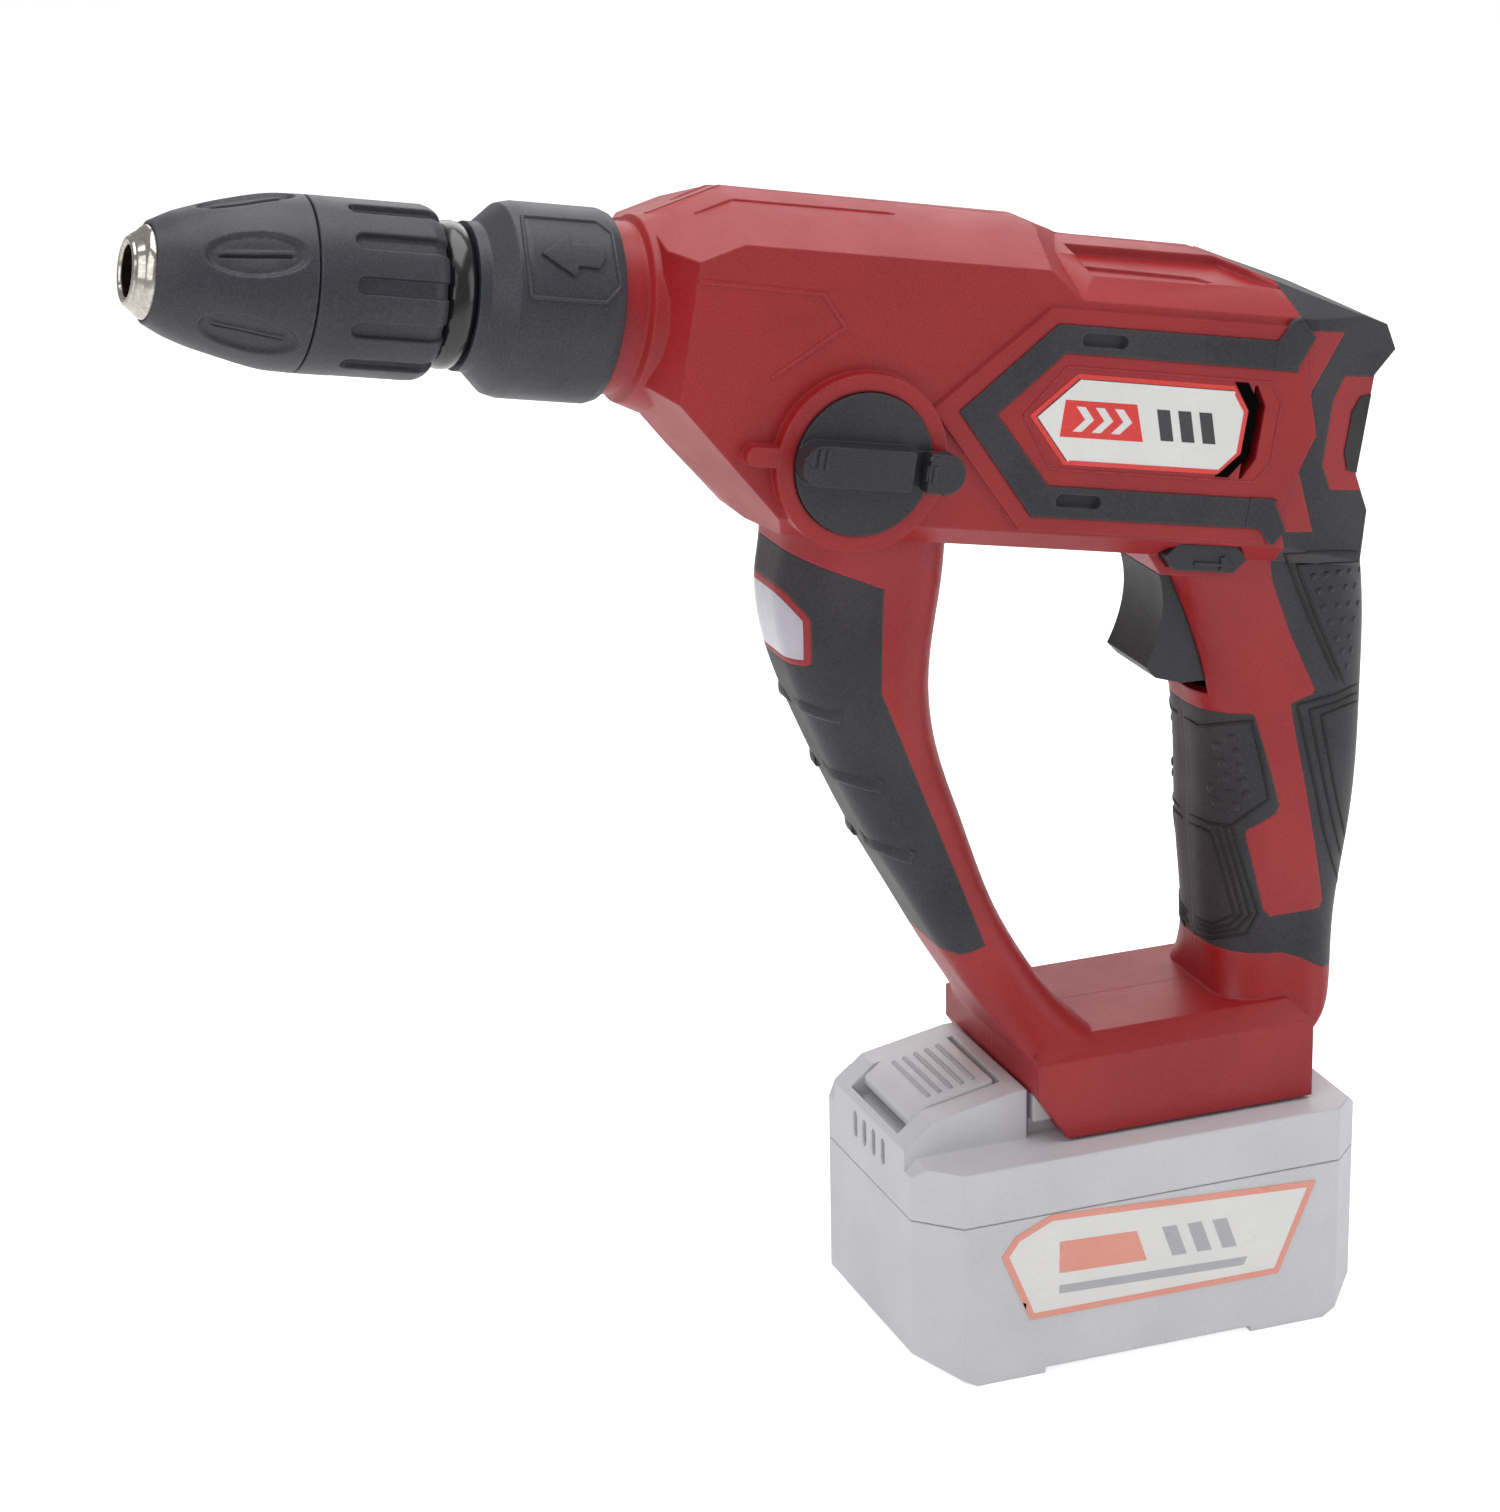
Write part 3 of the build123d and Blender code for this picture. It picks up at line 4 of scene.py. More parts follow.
import bmesh
import bpy
from mathutils import Matrix, Vector
from mathutils.bvhtree import BVHTree
from mathutils.geometry import delaunay_2d_cdt

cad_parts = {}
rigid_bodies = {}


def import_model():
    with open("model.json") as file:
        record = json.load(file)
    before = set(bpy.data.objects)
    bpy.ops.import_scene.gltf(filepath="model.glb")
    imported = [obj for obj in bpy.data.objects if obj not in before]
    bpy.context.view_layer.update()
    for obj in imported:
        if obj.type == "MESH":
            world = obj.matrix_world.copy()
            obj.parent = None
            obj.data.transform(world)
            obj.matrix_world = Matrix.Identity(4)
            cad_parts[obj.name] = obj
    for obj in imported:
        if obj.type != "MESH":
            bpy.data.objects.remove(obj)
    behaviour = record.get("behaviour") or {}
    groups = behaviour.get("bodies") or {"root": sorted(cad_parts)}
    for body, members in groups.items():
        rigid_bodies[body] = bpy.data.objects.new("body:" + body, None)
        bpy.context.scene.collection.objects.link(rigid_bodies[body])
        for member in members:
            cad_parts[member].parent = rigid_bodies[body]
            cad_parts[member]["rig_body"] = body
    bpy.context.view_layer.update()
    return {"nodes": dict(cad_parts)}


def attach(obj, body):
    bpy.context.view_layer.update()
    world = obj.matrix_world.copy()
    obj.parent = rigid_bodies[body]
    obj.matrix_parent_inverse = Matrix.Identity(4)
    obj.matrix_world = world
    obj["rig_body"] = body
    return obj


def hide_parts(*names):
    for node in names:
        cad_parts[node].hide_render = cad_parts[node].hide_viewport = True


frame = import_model()

MM = 0.001
TILT = math.radians(10.0)          # the barrel points 10 degrees up
ALONG = Vector((math.cos(TILT), 0, -math.sin(TILT)))
UP = Vector((math.sin(TILT), 0, math.cos(TILT)))
SIDE = Vector((0, 1, 0))
BARREL = Vector((-125, 0, 274)) * MM
EYE = Vector((-0.4197, -0.8869, 0.4964))   # the camera's place in metres
BARREL_PLANE, GRIP_PLANE = -29, -18        # Y in mm of the upright planes that marks are read on
OUTSIDE = 150                              # mm from the middle, clear of the tool
REAR_PLANE = 189.5                         # s in mm of the housing's flat back
WELD_GAP = 1e-6                            # metres
SHARP = math.radians(28)                   # edges over this angle stay sharp or are rounded


def spot(s, y, t):
    """Place in the barrel frame: s rearwards, y across, t upwards, in mm."""
    return BARREL + ALONG * s * MM + SIDE * y * MM + UP * t * MM


# ---------------------------------------------------------------- materials

class Graph:
    """Small helper for writing a node material."""

    def __init__(self, name):
        self.mat = bpy.data.materials.new(name)
        self.mat.use_nodes = True
        self.tree = self.mat.node_tree
        self.shader = self.tree.nodes["Principled BSDF"]

    def feed(self, socket, value):
        if isinstance(value, bpy.types.NodeSocket):
            self.tree.links.new(value, socket)
        else:
            socket.default_value = value

    def set(self, name, value):
        self.feed(self.shader.inputs[name], value)


def mix_colour(g, factor, a, b):
    made = g.tree.nodes.new("ShaderNodeMix")
    made.data_type = "RGBA"
    for index, value in ((0, factor), (6, a), (7, b)):
        g.feed(made.inputs[index], value)
    return made.outputs[2]


def maths(g, kind, a, b=0.0):
    made = g.tree.nodes.new("ShaderNodeMath")
    made.operation = kind
    g.feed(made.inputs[0], a)
    g.feed(made.inputs[1], b)
    return made.outputs[0]


def span(g, value, from_low, from_high, to_low=0.0, to_high=1.0):
    made = g.tree.nodes.new("ShaderNodeMapRange")
    for index, entry in enumerate((value, from_low, from_high, to_low, to_high)):
        g.feed(made.inputs[index], entry)
    return made.outputs[0]


def noise(g, coords, scale, detail=3.0, rough=0.55):
    made = g.tree.nodes.new("ShaderNodeTexNoise")
    g.feed(made.inputs["Vector"], coords)
    made.inputs["Scale"].default_value = scale
    made.inputs["Detail"].default_value = detail
    made.inputs["Roughness"].default_value = rough
    return made.outputs["Fac"]


def rgb(code):
    """Linear colour of a six-digit screen colour."""
    parts = [int(code[i:i + 2], 16) / 255 for i in (0, 2, 4)]
    return tuple(p / 12.92 if p <= 0.04045 else ((p + 0.055) / 1.055) ** 2.4 for p in parts) + (1.0,)


def worn(name, base, mottle, edge, rough, grain=1500.0, depth=0.03, edge_mix=0.35, metal=0.0,
         round_r=0.5, coat=0.0, sheen=0.0, mottle_scale=45.0, specular=0.5):
    """Moulded or machined surface: blotchy colour, fine grain, softened edges that wear lighter."""
    g = Graph(name)
    coords = g.tree.nodes.new("ShaderNodeTexCoord").outputs["Object"]
    geometry = g.tree.nodes.new("ShaderNodeNewGeometry")
    bevel = g.tree.nodes.new("ShaderNodeBevel")
    bevel.samples = 4
    bevel.inputs["Radius"].default_value = round_r * MM
    dot = g.tree.nodes.new("ShaderNodeVectorMath")
    dot.operation = "DOT_PRODUCT"
    g.feed(dot.inputs[0], bevel.outputs[0])
    g.feed(dot.inputs[1], geometry.outputs["Normal"])
    bent = span(g, dot.outputs["Value"], 0.995, 0.86)
    blotch = noise(g, coords, mottle_scale, 5.0)
    fine = noise(g, coords, grain, 2.0)
    scuff = noise(g, coords, 260.0, 6.0, 0.7)
    colour = mix_colour(g, span(g, blotch, 0.35, 0.65), rgb(base), rgb(mottle))
    rub = maths(g, "MULTIPLY", bent, span(g, scuff, 0.35, 0.6, 0.35, 1.0))
    colour = mix_colour(g, maths(g, "MULTIPLY", rub, edge_mix), colour, rgb(edge))
    colour = mix_colour(g, maths(g, "MULTIPLY", span(g, fine, 0.42, 0.6), 0.12), colour, rgb(edge))
    g.set("Base Color", colour)
    rough_mix = maths(g, "ADD", span(g, blotch, 0.3, 0.7, rough[0], rough[1]),
                      span(g, scuff, 0.55, 0.75, 0.0, 0.08))
    g.set("Roughness", rough_mix)
    g.set("Metallic", metal)
    g.set("Coat Weight", coat)
    g.set("Coat Roughness", 0.25)
    g.set("Sheen Weight", sheen)
    g.set("Sheen Roughness", 0.4)
    g.set("Specular IOR Level", specular)
    bump = g.tree.nodes.new("ShaderNodeBump")
    bump.inputs["Strength"].default_value = 1.0
    bump.inputs["Distance"].default_value = depth * MM
    g.feed(bump.inputs["Height"], maths(g, "ADD", fine, maths(g, "MULTIPLY", scuff, 0.25)))
    g.feed(bump.inputs["Normal"], bevel.outputs[0])
    g.set("Normal", bump.outputs[0])
    return g.mat


def turned(name, base, dark, rough, axis_scale=(30.0, 900.0, 900.0), metal=1.0):
    """Turned or ground metal with fine running marks."""
    g = Graph(name)
    coords = g.tree.nodes.new("ShaderNodeTexCoord").outputs["Object"]
    mapping = g.tree.nodes.new("ShaderNodeMapping")
    mapping.inputs["Scale"].default_value = axis_scale
    mapping.inputs["Rotation"].default_value = (0, -TILT, 0)
    g.feed(mapping.inputs["Vector"], coords)
    lines = noise(g, mapping.outputs[0], 1.6, 4.0, 0.6)
    blotch = noise(g, coords, 90.0, 4.0)
    colour = mix_colour(g, span(g, lines, 0.3, 0.7), rgb(base), rgb(dark))
    g.set("Base Color", mix_colour(g, span(g, blotch, 0.5, 0.8, 0.0, 0.5), colour, rgb(dark)))
    g.set("Metallic", metal)
    g.set("Roughness", span(g, lines, 0.3, 0.7, rough[0], rough[1]))
    bevel = g.tree.nodes.new("ShaderNodeBevel")
    bevel.samples = 4
    bevel.inputs["Radius"].default_value = 0.3 * MM
    bump = g.tree.nodes.new("ShaderNodeBump")
    bump.inputs["Distance"].default_value = 0.012 * MM
    g.feed(bump.inputs["Height"], lines)
    g.feed(bump.inputs["Normal"], bevel.outputs[0])
    g.set("Normal", bump.outputs[0])
    return g.mat


RED = worn("red_nylon", "A3141E", "99121B", "CE5056", (0.40, 0.52), grain=2200.0, depth=0.035,
           edge_mix=0.45, round_r=0.9, coat=0.12)
# darker copy of the red nylon: painted shade for the roof seam line and the floors of the band slots
RED_PAINTED_SHADE = worn("red_nylon_painted_shade", "96222B", "861C24", "BE444B", (0.45, 0.6), round_r=0.4)
RUBBER = worn("black_rubber", "323035", "2B292E", "625F66", (0.55, 0.72), grain=1600.0, depth=0.05,
              edge_mix=0.5, round_r=0.8, sheen=0.25)
# darker copy of the black rubber: painted shade for the grip's groove lines
RUBBER_GROOVE_SHADE = worn("black_rubber_painted_groove_shade", "1C1B1F", "18171A", "3E3C42", (0.5, 0.65), round_r=0.3)
CHUCK = worn("chuck_polymer", "33343B", "2C2D34", "6C6D76", (0.42, 0.55), grain=1900.0, depth=0.03,
             edge_mix=0.4, round_r=0.7, coat=0.1)
KNOB = worn("knob_polymer", "29292E", "232327", "66666D", (0.42, 0.55), grain=2000.0, depth=0.03,
            edge_mix=0.45, round_r=0.5, coat=0.1)
GLOSS = worn("gloss_rubber", "121215", "0E0E10", "3A3A3F", (0.12, 0.2), grain=900.0, depth=0.01,
             edge_mix=0.2, round_r=0.6, coat=0.6)
BLACK_PLASTIC = worn("black_nylon", "232327", "1D1D20", "505056", (0.45, 0.6))
PACK = worn("pale_battery_shell", "D6D6DA", "CFCFD4", "F4F4F6", (0.42, 0.55), grain=2200.0,
            depth=0.03, edge_mix=0.5, round_r=0.9, coat=0.1)
# darker copy of the pale battery shell: painted shade for the latch ribs
PACK_PAINTED_SHADE = worn("grey_battery_painted_shade", "BCBCC2", "B4B4BA", "E0E0E4", (0.45, 0.6), round_r=0.4)
STEEL = turned("ground_steel", "B9B6B1", "8E8B87", (0.18, 0.34))
NICKEL = turned("nickel_plate", "E4E0D8", "B8B3AA", (0.08, 0.18))
BLACK_STEEL = turned("blackened_steel", "4A4A4D", "2C2C2F", (0.3, 0.45))
ALLOY = worn("cast_alloy", "A8A9AB", "98999B", "D5D6D8", (0.38, 0.55), metal=0.9, depth=0.06, grain=1200.0)
COPPER = worn("copper_winding", "B0673A", "8F4F2A", "E0A070", (0.25, 0.4), metal=1.0, grain=1500.0,
              depth=0.08)
MAGNET = worn("ferrite_magnet", "4A4A4C", "3C3C3E", "77777A", (0.45, 0.6), metal=0.4)
BOARD = worn("circuit_board", "1F5A38", "19492D", "4E9068", (0.35, 0.5), round_r=0.2)
CELL = worn("cell_wrap", "3C6FA8", "33608F", "86AED6", (0.3, 0.42), round_r=0.3, coat=0.3)
WIRE = worn("wire_sleeve", "8C1F22", "1F1F22", "C25A5C", (0.35, 0.5), mottle_scale=30.0, round_r=0.2)
SHADOW = worn("painted_shadow_opening", "060607", "040405", "121214", (0.9, 1.0), round_r=0.2, specular=0.04)


def label_material(name, paper, tint, ink, streak):
    """Printed film: a slightly uneven white with a faint weave and a satin coat."""
    g = Graph(name)
    coords = g.tree.nodes.new("ShaderNodeTexCoord").outputs["Object"]
    blotch = noise(g, coords, 70.0, 4.0)
    fine = noise(g, coords, 2600.0, 2.0)
    colour = mix_colour(g, span(g, blotch, 0.35, 0.7, 0.0, 0.6), rgb(paper), rgb(tint))
    colour = mix_colour(g, maths(g, "MULTIPLY", span(g, fine, 0.5, 0.7), streak), colour, rgb(ink))
    g.set("Base Color", colour)
    g.set("Roughness", span(g, blotch, 0.3, 0.7, 0.25, 0.36))
    g.set("Coat Weight", 0.4)
    g.set("Coat Roughness", 0.12)
    bump = g.tree.nodes.new("ShaderNodeBump")
    bump.inputs["Distance"].default_value = 0.006 * MM
    g.feed(bump.inputs["Height"], fine)
    g.set("Normal", bump.outputs[0])
    return g.mat


LABEL_WHITE = label_material("label_white", "F0F0EE", "E6E6E4", "C8C8C8", 0.15)
LABEL_RED = label_material("label_red", "E8312B", "DC2A25", "F08078", 0.2)
LABEL_INK = label_material("label_ink", "37353A", "2E2C31", "6A686E", 0.2)
PALE_RED = label_material("label_pale_red", "F0A08E", "EA9785", "F8C8BC", 0.2)
PALE_INK = label_material("label_pale_ink", "B9B9BE", "B0B0B6", "D0D0D4", 0.2)


def lens_material():
    """Frosted clear plastic with a cool tint."""
    g = Graph("frosted_lens")
    coords = g.tree.nodes.new("ShaderNodeTexCoord").outputs["Object"]
    blotch = noise(g, coords, 300.0, 3.0)
    g.set("Base Color", mix_colour(g, blotch, rgb("E9E6F2"), rgb("D3CFE2")))
    g.set("Roughness", span(g, blotch, 0.3, 0.7, 0.08, 0.22))
    g.set("Transmission Weight", 0.35)
    g.set("Coat Weight", 0.8)
    g.set("Coat Roughness", 0.05)
    bump = g.tree.nodes.new("ShaderNodeBump")
    bump.inputs["Distance"].default_value = 0.05 * MM
    g.feed(bump.inputs["Height"], blotch)
    g.set("Normal", bump.outputs[0])
    return g.mat


LENS = lens_material()

FINISH = {
    RED: "left_housing right_housing",
    RUBBER: "left_grip_rubber right_grip_rubber left_pillar_rubber right_pillar_rubber "
            "left_motor_band right_motor_band",
    LABEL_WHITE: "left_label right_label battery_labels",
    CHUCK: "chuck_front_sleeve chuck_rear_sleeve lock_sleeve",
    GLOSS: "dust_cap spindle_seal",
    KNOB: "mode_knob mode_lock_button trigger direction_slider",
    BLACK_PLASTIC: "switch_module terminal_block rear_bearing_plate motor_end_cap motor_fan",
    PACK: "battery_lower_case battery_upper_case battery_latch",
    NICKEL: "chuck_body jaw_1 jaw_2 jaw_3",
    STEEL: "shank_adaptor spindle spindle_bearing intermediate_bearings motor_bearings "
           "intermediate_shaft piston striker impact_pin lock_spring trigger_spring wobble_ring "
           "locking_balls motor_can",
    BLACK_STEEL: "housing_screws chuck_nut spindle_gear intermediate_gear clutch_sleeve motor_pinion",
    ALLOY: "front_bearing_plate",
    COPPER: "motor_rotor",
    MAGNET: "motor_magnets",
    BOARD: "led_board battery_board",
    CELL: "battery_cells",
    WIRE: "wiring",
    LENS: "led_lens",
}
for material, names in FINISH.items():
    for name in names.split():
        mesh = frame["nodes"][name].data
        mesh.materials.clear()
        mesh.materials.append(material)

# ---------------------------------------------------------------- finding the surface

def surface(*names):
    """Ray target made of the named pieces."""
    points, faces = [], []
    for name in names:
        mesh = frame["nodes"][name].data
        start = len(points)
        points.extend(v.co.copy() for v in mesh.vertices)
        faces.extend([start + i for i in p.vertices] for p in mesh.polygons)
    return BVHTree.FromPolygons(points, faces)


# Each of these returns a function that drops a flat place in mm onto the skin
# and gives the point and the outward normal there.

def seen_from(tree, place, inward):
    """place(u, v) starts the ray outside the skin, inward(u, v) is its direction."""

    def drop(u, v):
        way = inward(u, v).normalized()
        point, normal, _, _ = tree.ray_cast(place(u, v), way)
        if point is None:
            return None
        return point, (-normal if normal.dot(way) > 0 else normal)

    return drop


def from_side(tree, near=True):
    """Places as (X, Z) on the near or the far side."""
    sign = -1 if near else 1
    return seen_from(tree, lambda x, z: Vector((x, sign * OUTSIDE, z)) * MM, lambda x, z: SIDE * -sign)


def from_barrel_side(tree, near=True):
    """Places as (s, t) on the near or the far side."""
    sign = -1 if near else 1
    return seen_from(tree, lambda s, t: spot(s, sign * OUTSIDE, t), lambda s, t: SIDE * -sign)


def from_roof(tree):
    """Places as (s, y) looking down on the barrel."""
    return seen_from(tree, lambda s, y: spot(s, y, 120), lambda s, y: -UP)


def from_above(tree):
    """Places as (X, Y) looking straight down."""
    return seen_from(tree, lambda x, y: Vector((x, y, 300)) * MM, lambda x, y: Vector((0, 0, -1)))


# ---------------------------------------------------------------- making detail pieces

def new_piece(name, points, faces, material, body, smooth=35.0):
    mesh = bpy.data.meshes.new(name)
    mesh.from_pydata([tuple(p) for p in points], [], faces)
    work = bmesh.new()
    work.from_mesh(mesh)
    bmesh.ops.remove_doubles(work, verts=work.verts, dist=1e-7)
    bmesh.ops.recalc_face_normals(work, faces=work.faces)
    for face in work.faces:
        face.smooth = True
    for edge in work.edges:
        if len(edge.link_faces) == 2 and edge.calc_face_angle(0) > math.radians(smooth):
            edge.smooth = False
    work.to_mesh(mesh)
    work.free()
    mesh.materials.append(material)
    made = bpy.data.objects.new(name, mesh)
    bpy.context.scene.collection.objects.link(made)
    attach(made, body)
    return made


def densify(path, step, closed=False):
    ends = path[1:] + (path[:1] if closed else [])
    dense = []
    for (u0, v0), (u1, v1) in zip(path, ends):
        count = max(1, int(math.hypot(u1 - u0, v1 - v0) / step))
        dense += [(u0 + (u1 - u0) * i / count, v0 + (v1 - v0) * i / count) for i in range(count)]
    return dense if closed else dense + [path[-1]]


ROUND_BEAD = [(-1.0, -0.6), (-0.85, 0.45), (-0.4, 0.95), (0.4, 0.95), (0.85, 0.45), (1.0, -0.6)]
FINGER_STEP = [(-0.25, -0.5), (-0.12, 0.75), (0.05, 1.0), (0.3, 0.8), (0.6, 0.4), (1.0, -0.3)]


def bead(name, body, material, drop, lines, half_width, height, section=ROUND_BEAD, step=1.0, taper=True):
    """Raised lines that follow the surface."""
    points, faces = [], []
    for line in lines:
        landed = [drop(u, v) for u, v in densify(line, step)]
        landed = [hit for hit in landed if hit]
        if len(landed) < 2:
            continue
        start = len(points)
        for i, (point, normal) in enumerate(landed):
            before = landed[max(i - 1, 0)][0]
            after = landed[min(i + 1, len(landed) - 1)][0]
            across = (after - before).normalized().cross(normal).normalized()
            edge = min(i, len(landed) - 1 - i)
            fade = min(1.0, 0.3 + edge * 0.35) if taper else 1.0
            for a, h in section:
                points.append(point + across * a * half_width * MM + normal * h * height * fade * MM)
        wide = len(section)
        for i in range(len(landed) - 1):
            for j in range(wide):
                k = (j + 1) % wide
                faces.append((start + i * wide + j, start + i * wide + k,
                              start + (i + 1) * wide + k, start + (i + 1) * wide + j))
        faces.append(tuple(start + j for j in range(wide)))
        last = start + (len(landed) - 1) * wide
        faces.append(tuple(last + j for j in reversed(range(wide))))
    return new_piece(name, points, faces, material, body, smooth=60.0)


def inside(u, v, loops):
    crossings = 0
    for loop in loops:
        for (u0, v0), (u1, v1) in zip(loop, loop[1:] + loop[:1]):
            if (v0 > v) != (v1 > v) and u < u0 + (v - v0) / (v1 - v0) * (u1 - u0):
                crossings += 1
    return crossings % 2 == 1


def plate(name, body, material, drop, shapes, lift, sink=0.4, step=2.0):
    """Flat-printed or moulded patches that follow the surface. Each shape is a list of loops."""
    points, faces = [], []
    for loops in shapes:
        flat_points, edges = [], []
        for loop in loops:
            dense = densify(loop, step, closed=True)
            first = len(flat_points)
            flat_points += dense
            edges += [(first + i, first + (i + 1) % len(dense)) for i in range(len(dense))]
        us = [p[0] for p in flat_points]
        vs = [p[1] for p in flat_points]
        u = min(us) + step * 0.5
        while u < max(us):
            v = min(vs) + step * 0.5
            while v < max(vs):
                if inside(u, v, loops):
                    flat_points.append((u, v))
                v += step
            u += step
        found = delaunay_2d_cdt([Vector(p) for p in flat_points], edges, [], 0, 1e-5)
        landed = [drop(p[0], p[1]) for p in found[0]]
        triangles = []
        for triangle in found[2]:
            cu = sum(found[0][i][0] for i in triangle) / 3
            cv = sum(found[0][i][1] for i in triangle) / 3
            if inside(cu, cv, loops) and all(landed[i] for i in triangle):
                triangles.append(tuple(triangle))
        start = len(points)
        count = len(landed)
        for offset in (lift, -sink):
            points += [(hit[0] + hit[1] * offset * MM) if hit else Vector((0, 0, 0)) for hit in landed]
        rims = {}
        for a, b, c in triangles:
            faces.append((start + a, start + b, start + c))
            faces.append((start + count + c, start + count + b, start + count + a))
            for edge in ((a, b), (b, c), (c, a)):
                rims[edge] = rims.get(edge, 0) + 1
        for (a, b) in rims:
            if (b, a) not in rims:
                faces.append((start + a, start + count + a, start + count + b, start + b))
    used = sorted({i for face in faces for i in face})
    renumber = {old: new for new, old in enumerate(used)}
    points = [points[i] for i in used]
    faces = [tuple(renumber[i] for i in face) for face in faces]
    return new_piece(name, points, faces, material, body)


def studs(name, body, material, drop, places, radius, height, around=14, rings=4):
    """Small domes standing on the surface."""
    points, faces = [], []
    for u, v in places:
        hit = drop(u, v)
        if not hit:
            continue
        point, normal = hit
        one = normal.orthogonal().normalized()
        two = normal.cross(one)
        start = len(points)
        points.append(point + normal * height * MM)
        for ring in range(1, rings + 1):
            lean = math.pi / 2 * ring / rings
            for k in range(around):
                turn = 2 * math.pi * k / around
                out = (one * math.cos(turn) + two * math.sin(turn)) * math.sin(lean) * radius
                rise = height * math.cos(lean) - (0.3 if ring == rings else 0.0)
                points.append(point + (out + normal * rise) * MM)
        for k in range(around):
            n = (k + 1) % around
            faces.append((start, start + 1 + k, start + 1 + n))
            for ring in range(rings - 1):
                a = start + 1 + ring * around
                faces.append((a + k, a + around + k, a + around + n, a + n))
        faces.append(tuple(start + 1 + (rings - 1) * around + k for k in reversed(range(around))))
    return new_piece(name, points, faces, material, body, smooth=60.0)


def sighted(tree, barrel, far_tree=None, depth=BARREL_PLANE):
    """Places read on an upright plane beside the tool and followed along the line of sight onto
    the skin; with far_tree the same place is then carried over to the other side."""

    def drop(u, v):
        mark = spot(u, depth, v) if barrel else Vector((u, GRIP_PLANE, v)) * MM
        way = (mark - EYE).normalized()
        point, normal, _, _ = tree.ray_cast(EYE, way)
        if point is None:
            return None
        if normal.dot(way) > 0:
            normal = -normal
        if far_tree is None:
            return point, normal
        start = Vector((point.x, OUTSIDE * MM, point.z))
        point, normal, _, _ = far_tree.ray_cast(start, -SIDE)
        if point is None:
            return None
        return point, (-normal if normal.y < 0 else normal)

    return drop


def sighted_plane(height, far):
    """Places in (s, t) followed along the line of sight to an upright plane at this Y in mm."""
    sign = 1 if far else -1

    def drop(u, v):
        way = (spot(u, BARREL_PLANE, v) - EYE).normalized()
        point = EYE + way * ((-height * MM - EYE.y) / way.y)
        return Vector((point.x, sign * height * MM, point.z)), SIDE * sign

    return drop


def height_at(tree, u, v):
    """How far out the near skin stands at a place in (s, t), in mm."""
    return -sighted(tree, True)(u, v)[0].y / MM


SIDES = (("left", False), ("right", True))
left_all = surface("left_housing", "left_grip_rubber", "left_pillar_rubber", "left_motor_band")
right_all = surface("right_housing", "right_grip_rubber", "right_pillar_rubber", "right_motor_band")
both_shells = surface("left_housing", "right_housing")


def side_drop(barrel, far):
    return sighted(left_all, barrel, right_all if far else None)


GEAR_PANEL = [(12.2, 12.8), (42.5, 12.2), (49, 5), (33, -8)]
LABEL_RECESS = [(97, -12.3), (106, -0.2), (160, -0.4), (163.6, -5), (163.6, -20), (160, -24.8), (106, -24.6)]
for label, far in SIDES:
    drop = side_drop(True, far)
    bead(f"{label}_gear_panel_line", "housing", RED, drop, [GEAR_PANEL], 0.65, 0.42, taper=False)
    bead(f"{label}_label_recess_line", "housing", RED, drop, [LABEL_RECESS + LABEL_RECESS[:1]], 0.4, 0.22,
         taper=False)

# patches of small studs and the moulded lines round them
FRONT_STUDS = [(29.5, 153.5), (25.5, 152), (31, 149.5), (27, 147.5), (32, 145.5), (28.5, 143.5),
               (33, 141.5), (24, 141.5), (29.5, 139), (34, 138), (25.5, 137.5), (31, 135.5)]
STUD_ROWS = {192.5: (51, 54.5, 58, 61, 63.5), 188.5: (52.5, 56, 60, 62.5), 184: (54, 58, 61, 63.5),
             180: (56, 59.5, 62.5), 175.5: (58, 61.5), 172: (59.5, 62), 168: (61,)}
REAR_STUDS = [(x, z) for z, row in STUD_ROWS.items() for x in row]
GRIP_LINES = [
    [(64, 197), (55, 198.2), (43, 199.3), (47, 189), (53, 176), (58.5, 164.5)],
    [(64, 194.6), (55, 195.4), (46.3, 195.9), (52, 182), (60.5, 163.4)],
    [(65, 163.2), (58, 160.9), (47.5, 159.6), (52.5, 140), (56, 125), (60, 112), (60.3, 104)],
    [(65, 160.9), (58, 158.7), (51, 157.8), (56, 137), (59, 125), (61.4, 116)],
    [(65, 158.6), (58, 156.8), (54.3, 156), (58.5, 137), (62.3, 121)],
    [(16.4, 160.8), (20.5, 158), (35, 157.2), (38, 146), (40.3, 136), (30, 130.5), (24, 132), (16.4, 136.2)],
    [(16.4, 134), (24, 129.7), (28, 118), (31.5, 106.5), (25, 105.3), (18.4, 108.5)],
    [(26, 130.3), (30, 118), (33.6, 106.3), (30, 104), (25, 104), (18.6, 107)],
    [(28, 130.5), (32, 118), (35.8, 105.8), (32, 102.5), (25, 102.7), (18.8, 105.5)],
    [(30, 130.3), (34, 118), (38, 106), (35, 101), (25, 101.2), (19, 104)],
]
FINGER_STEPS = [
    [(-88.2, 181), (-86, 178.5), (-80, 175), (-74, 172.3)],
    [(-78.6, 162), (-76, 159), (-70, 156), (-64, 153.4)],
    [(-68.8, 143), (-66.5, 140), (-61, 136.7), (-56, 134)],
]
for label, far in SIDES:
    drop = side_drop(False, far)
    studs(f"{label}_front_grip_studs", "housing", RUBBER, drop, FRONT_STUDS, 1.25, 0.5)
    studs(f"{label}_rear_grip_studs", "housing", RUBBER, drop, REAR_STUDS, 0.85, 0.4)
    # the grip lines are raised in darker rubber, painted shade standing in for the shaded grooves
    bead(f"{label}_grip_lines", "housing", RUBBER_GROOVE_SHADE, drop, GRIP_LINES, 0.45, 0.35)
    bead(f"{label}_finger_steps", "housing", RUBBER, drop, FINGER_STEPS, 3.2 * (1 if far else -1), 0.9,
         section=FINGER_STEP)

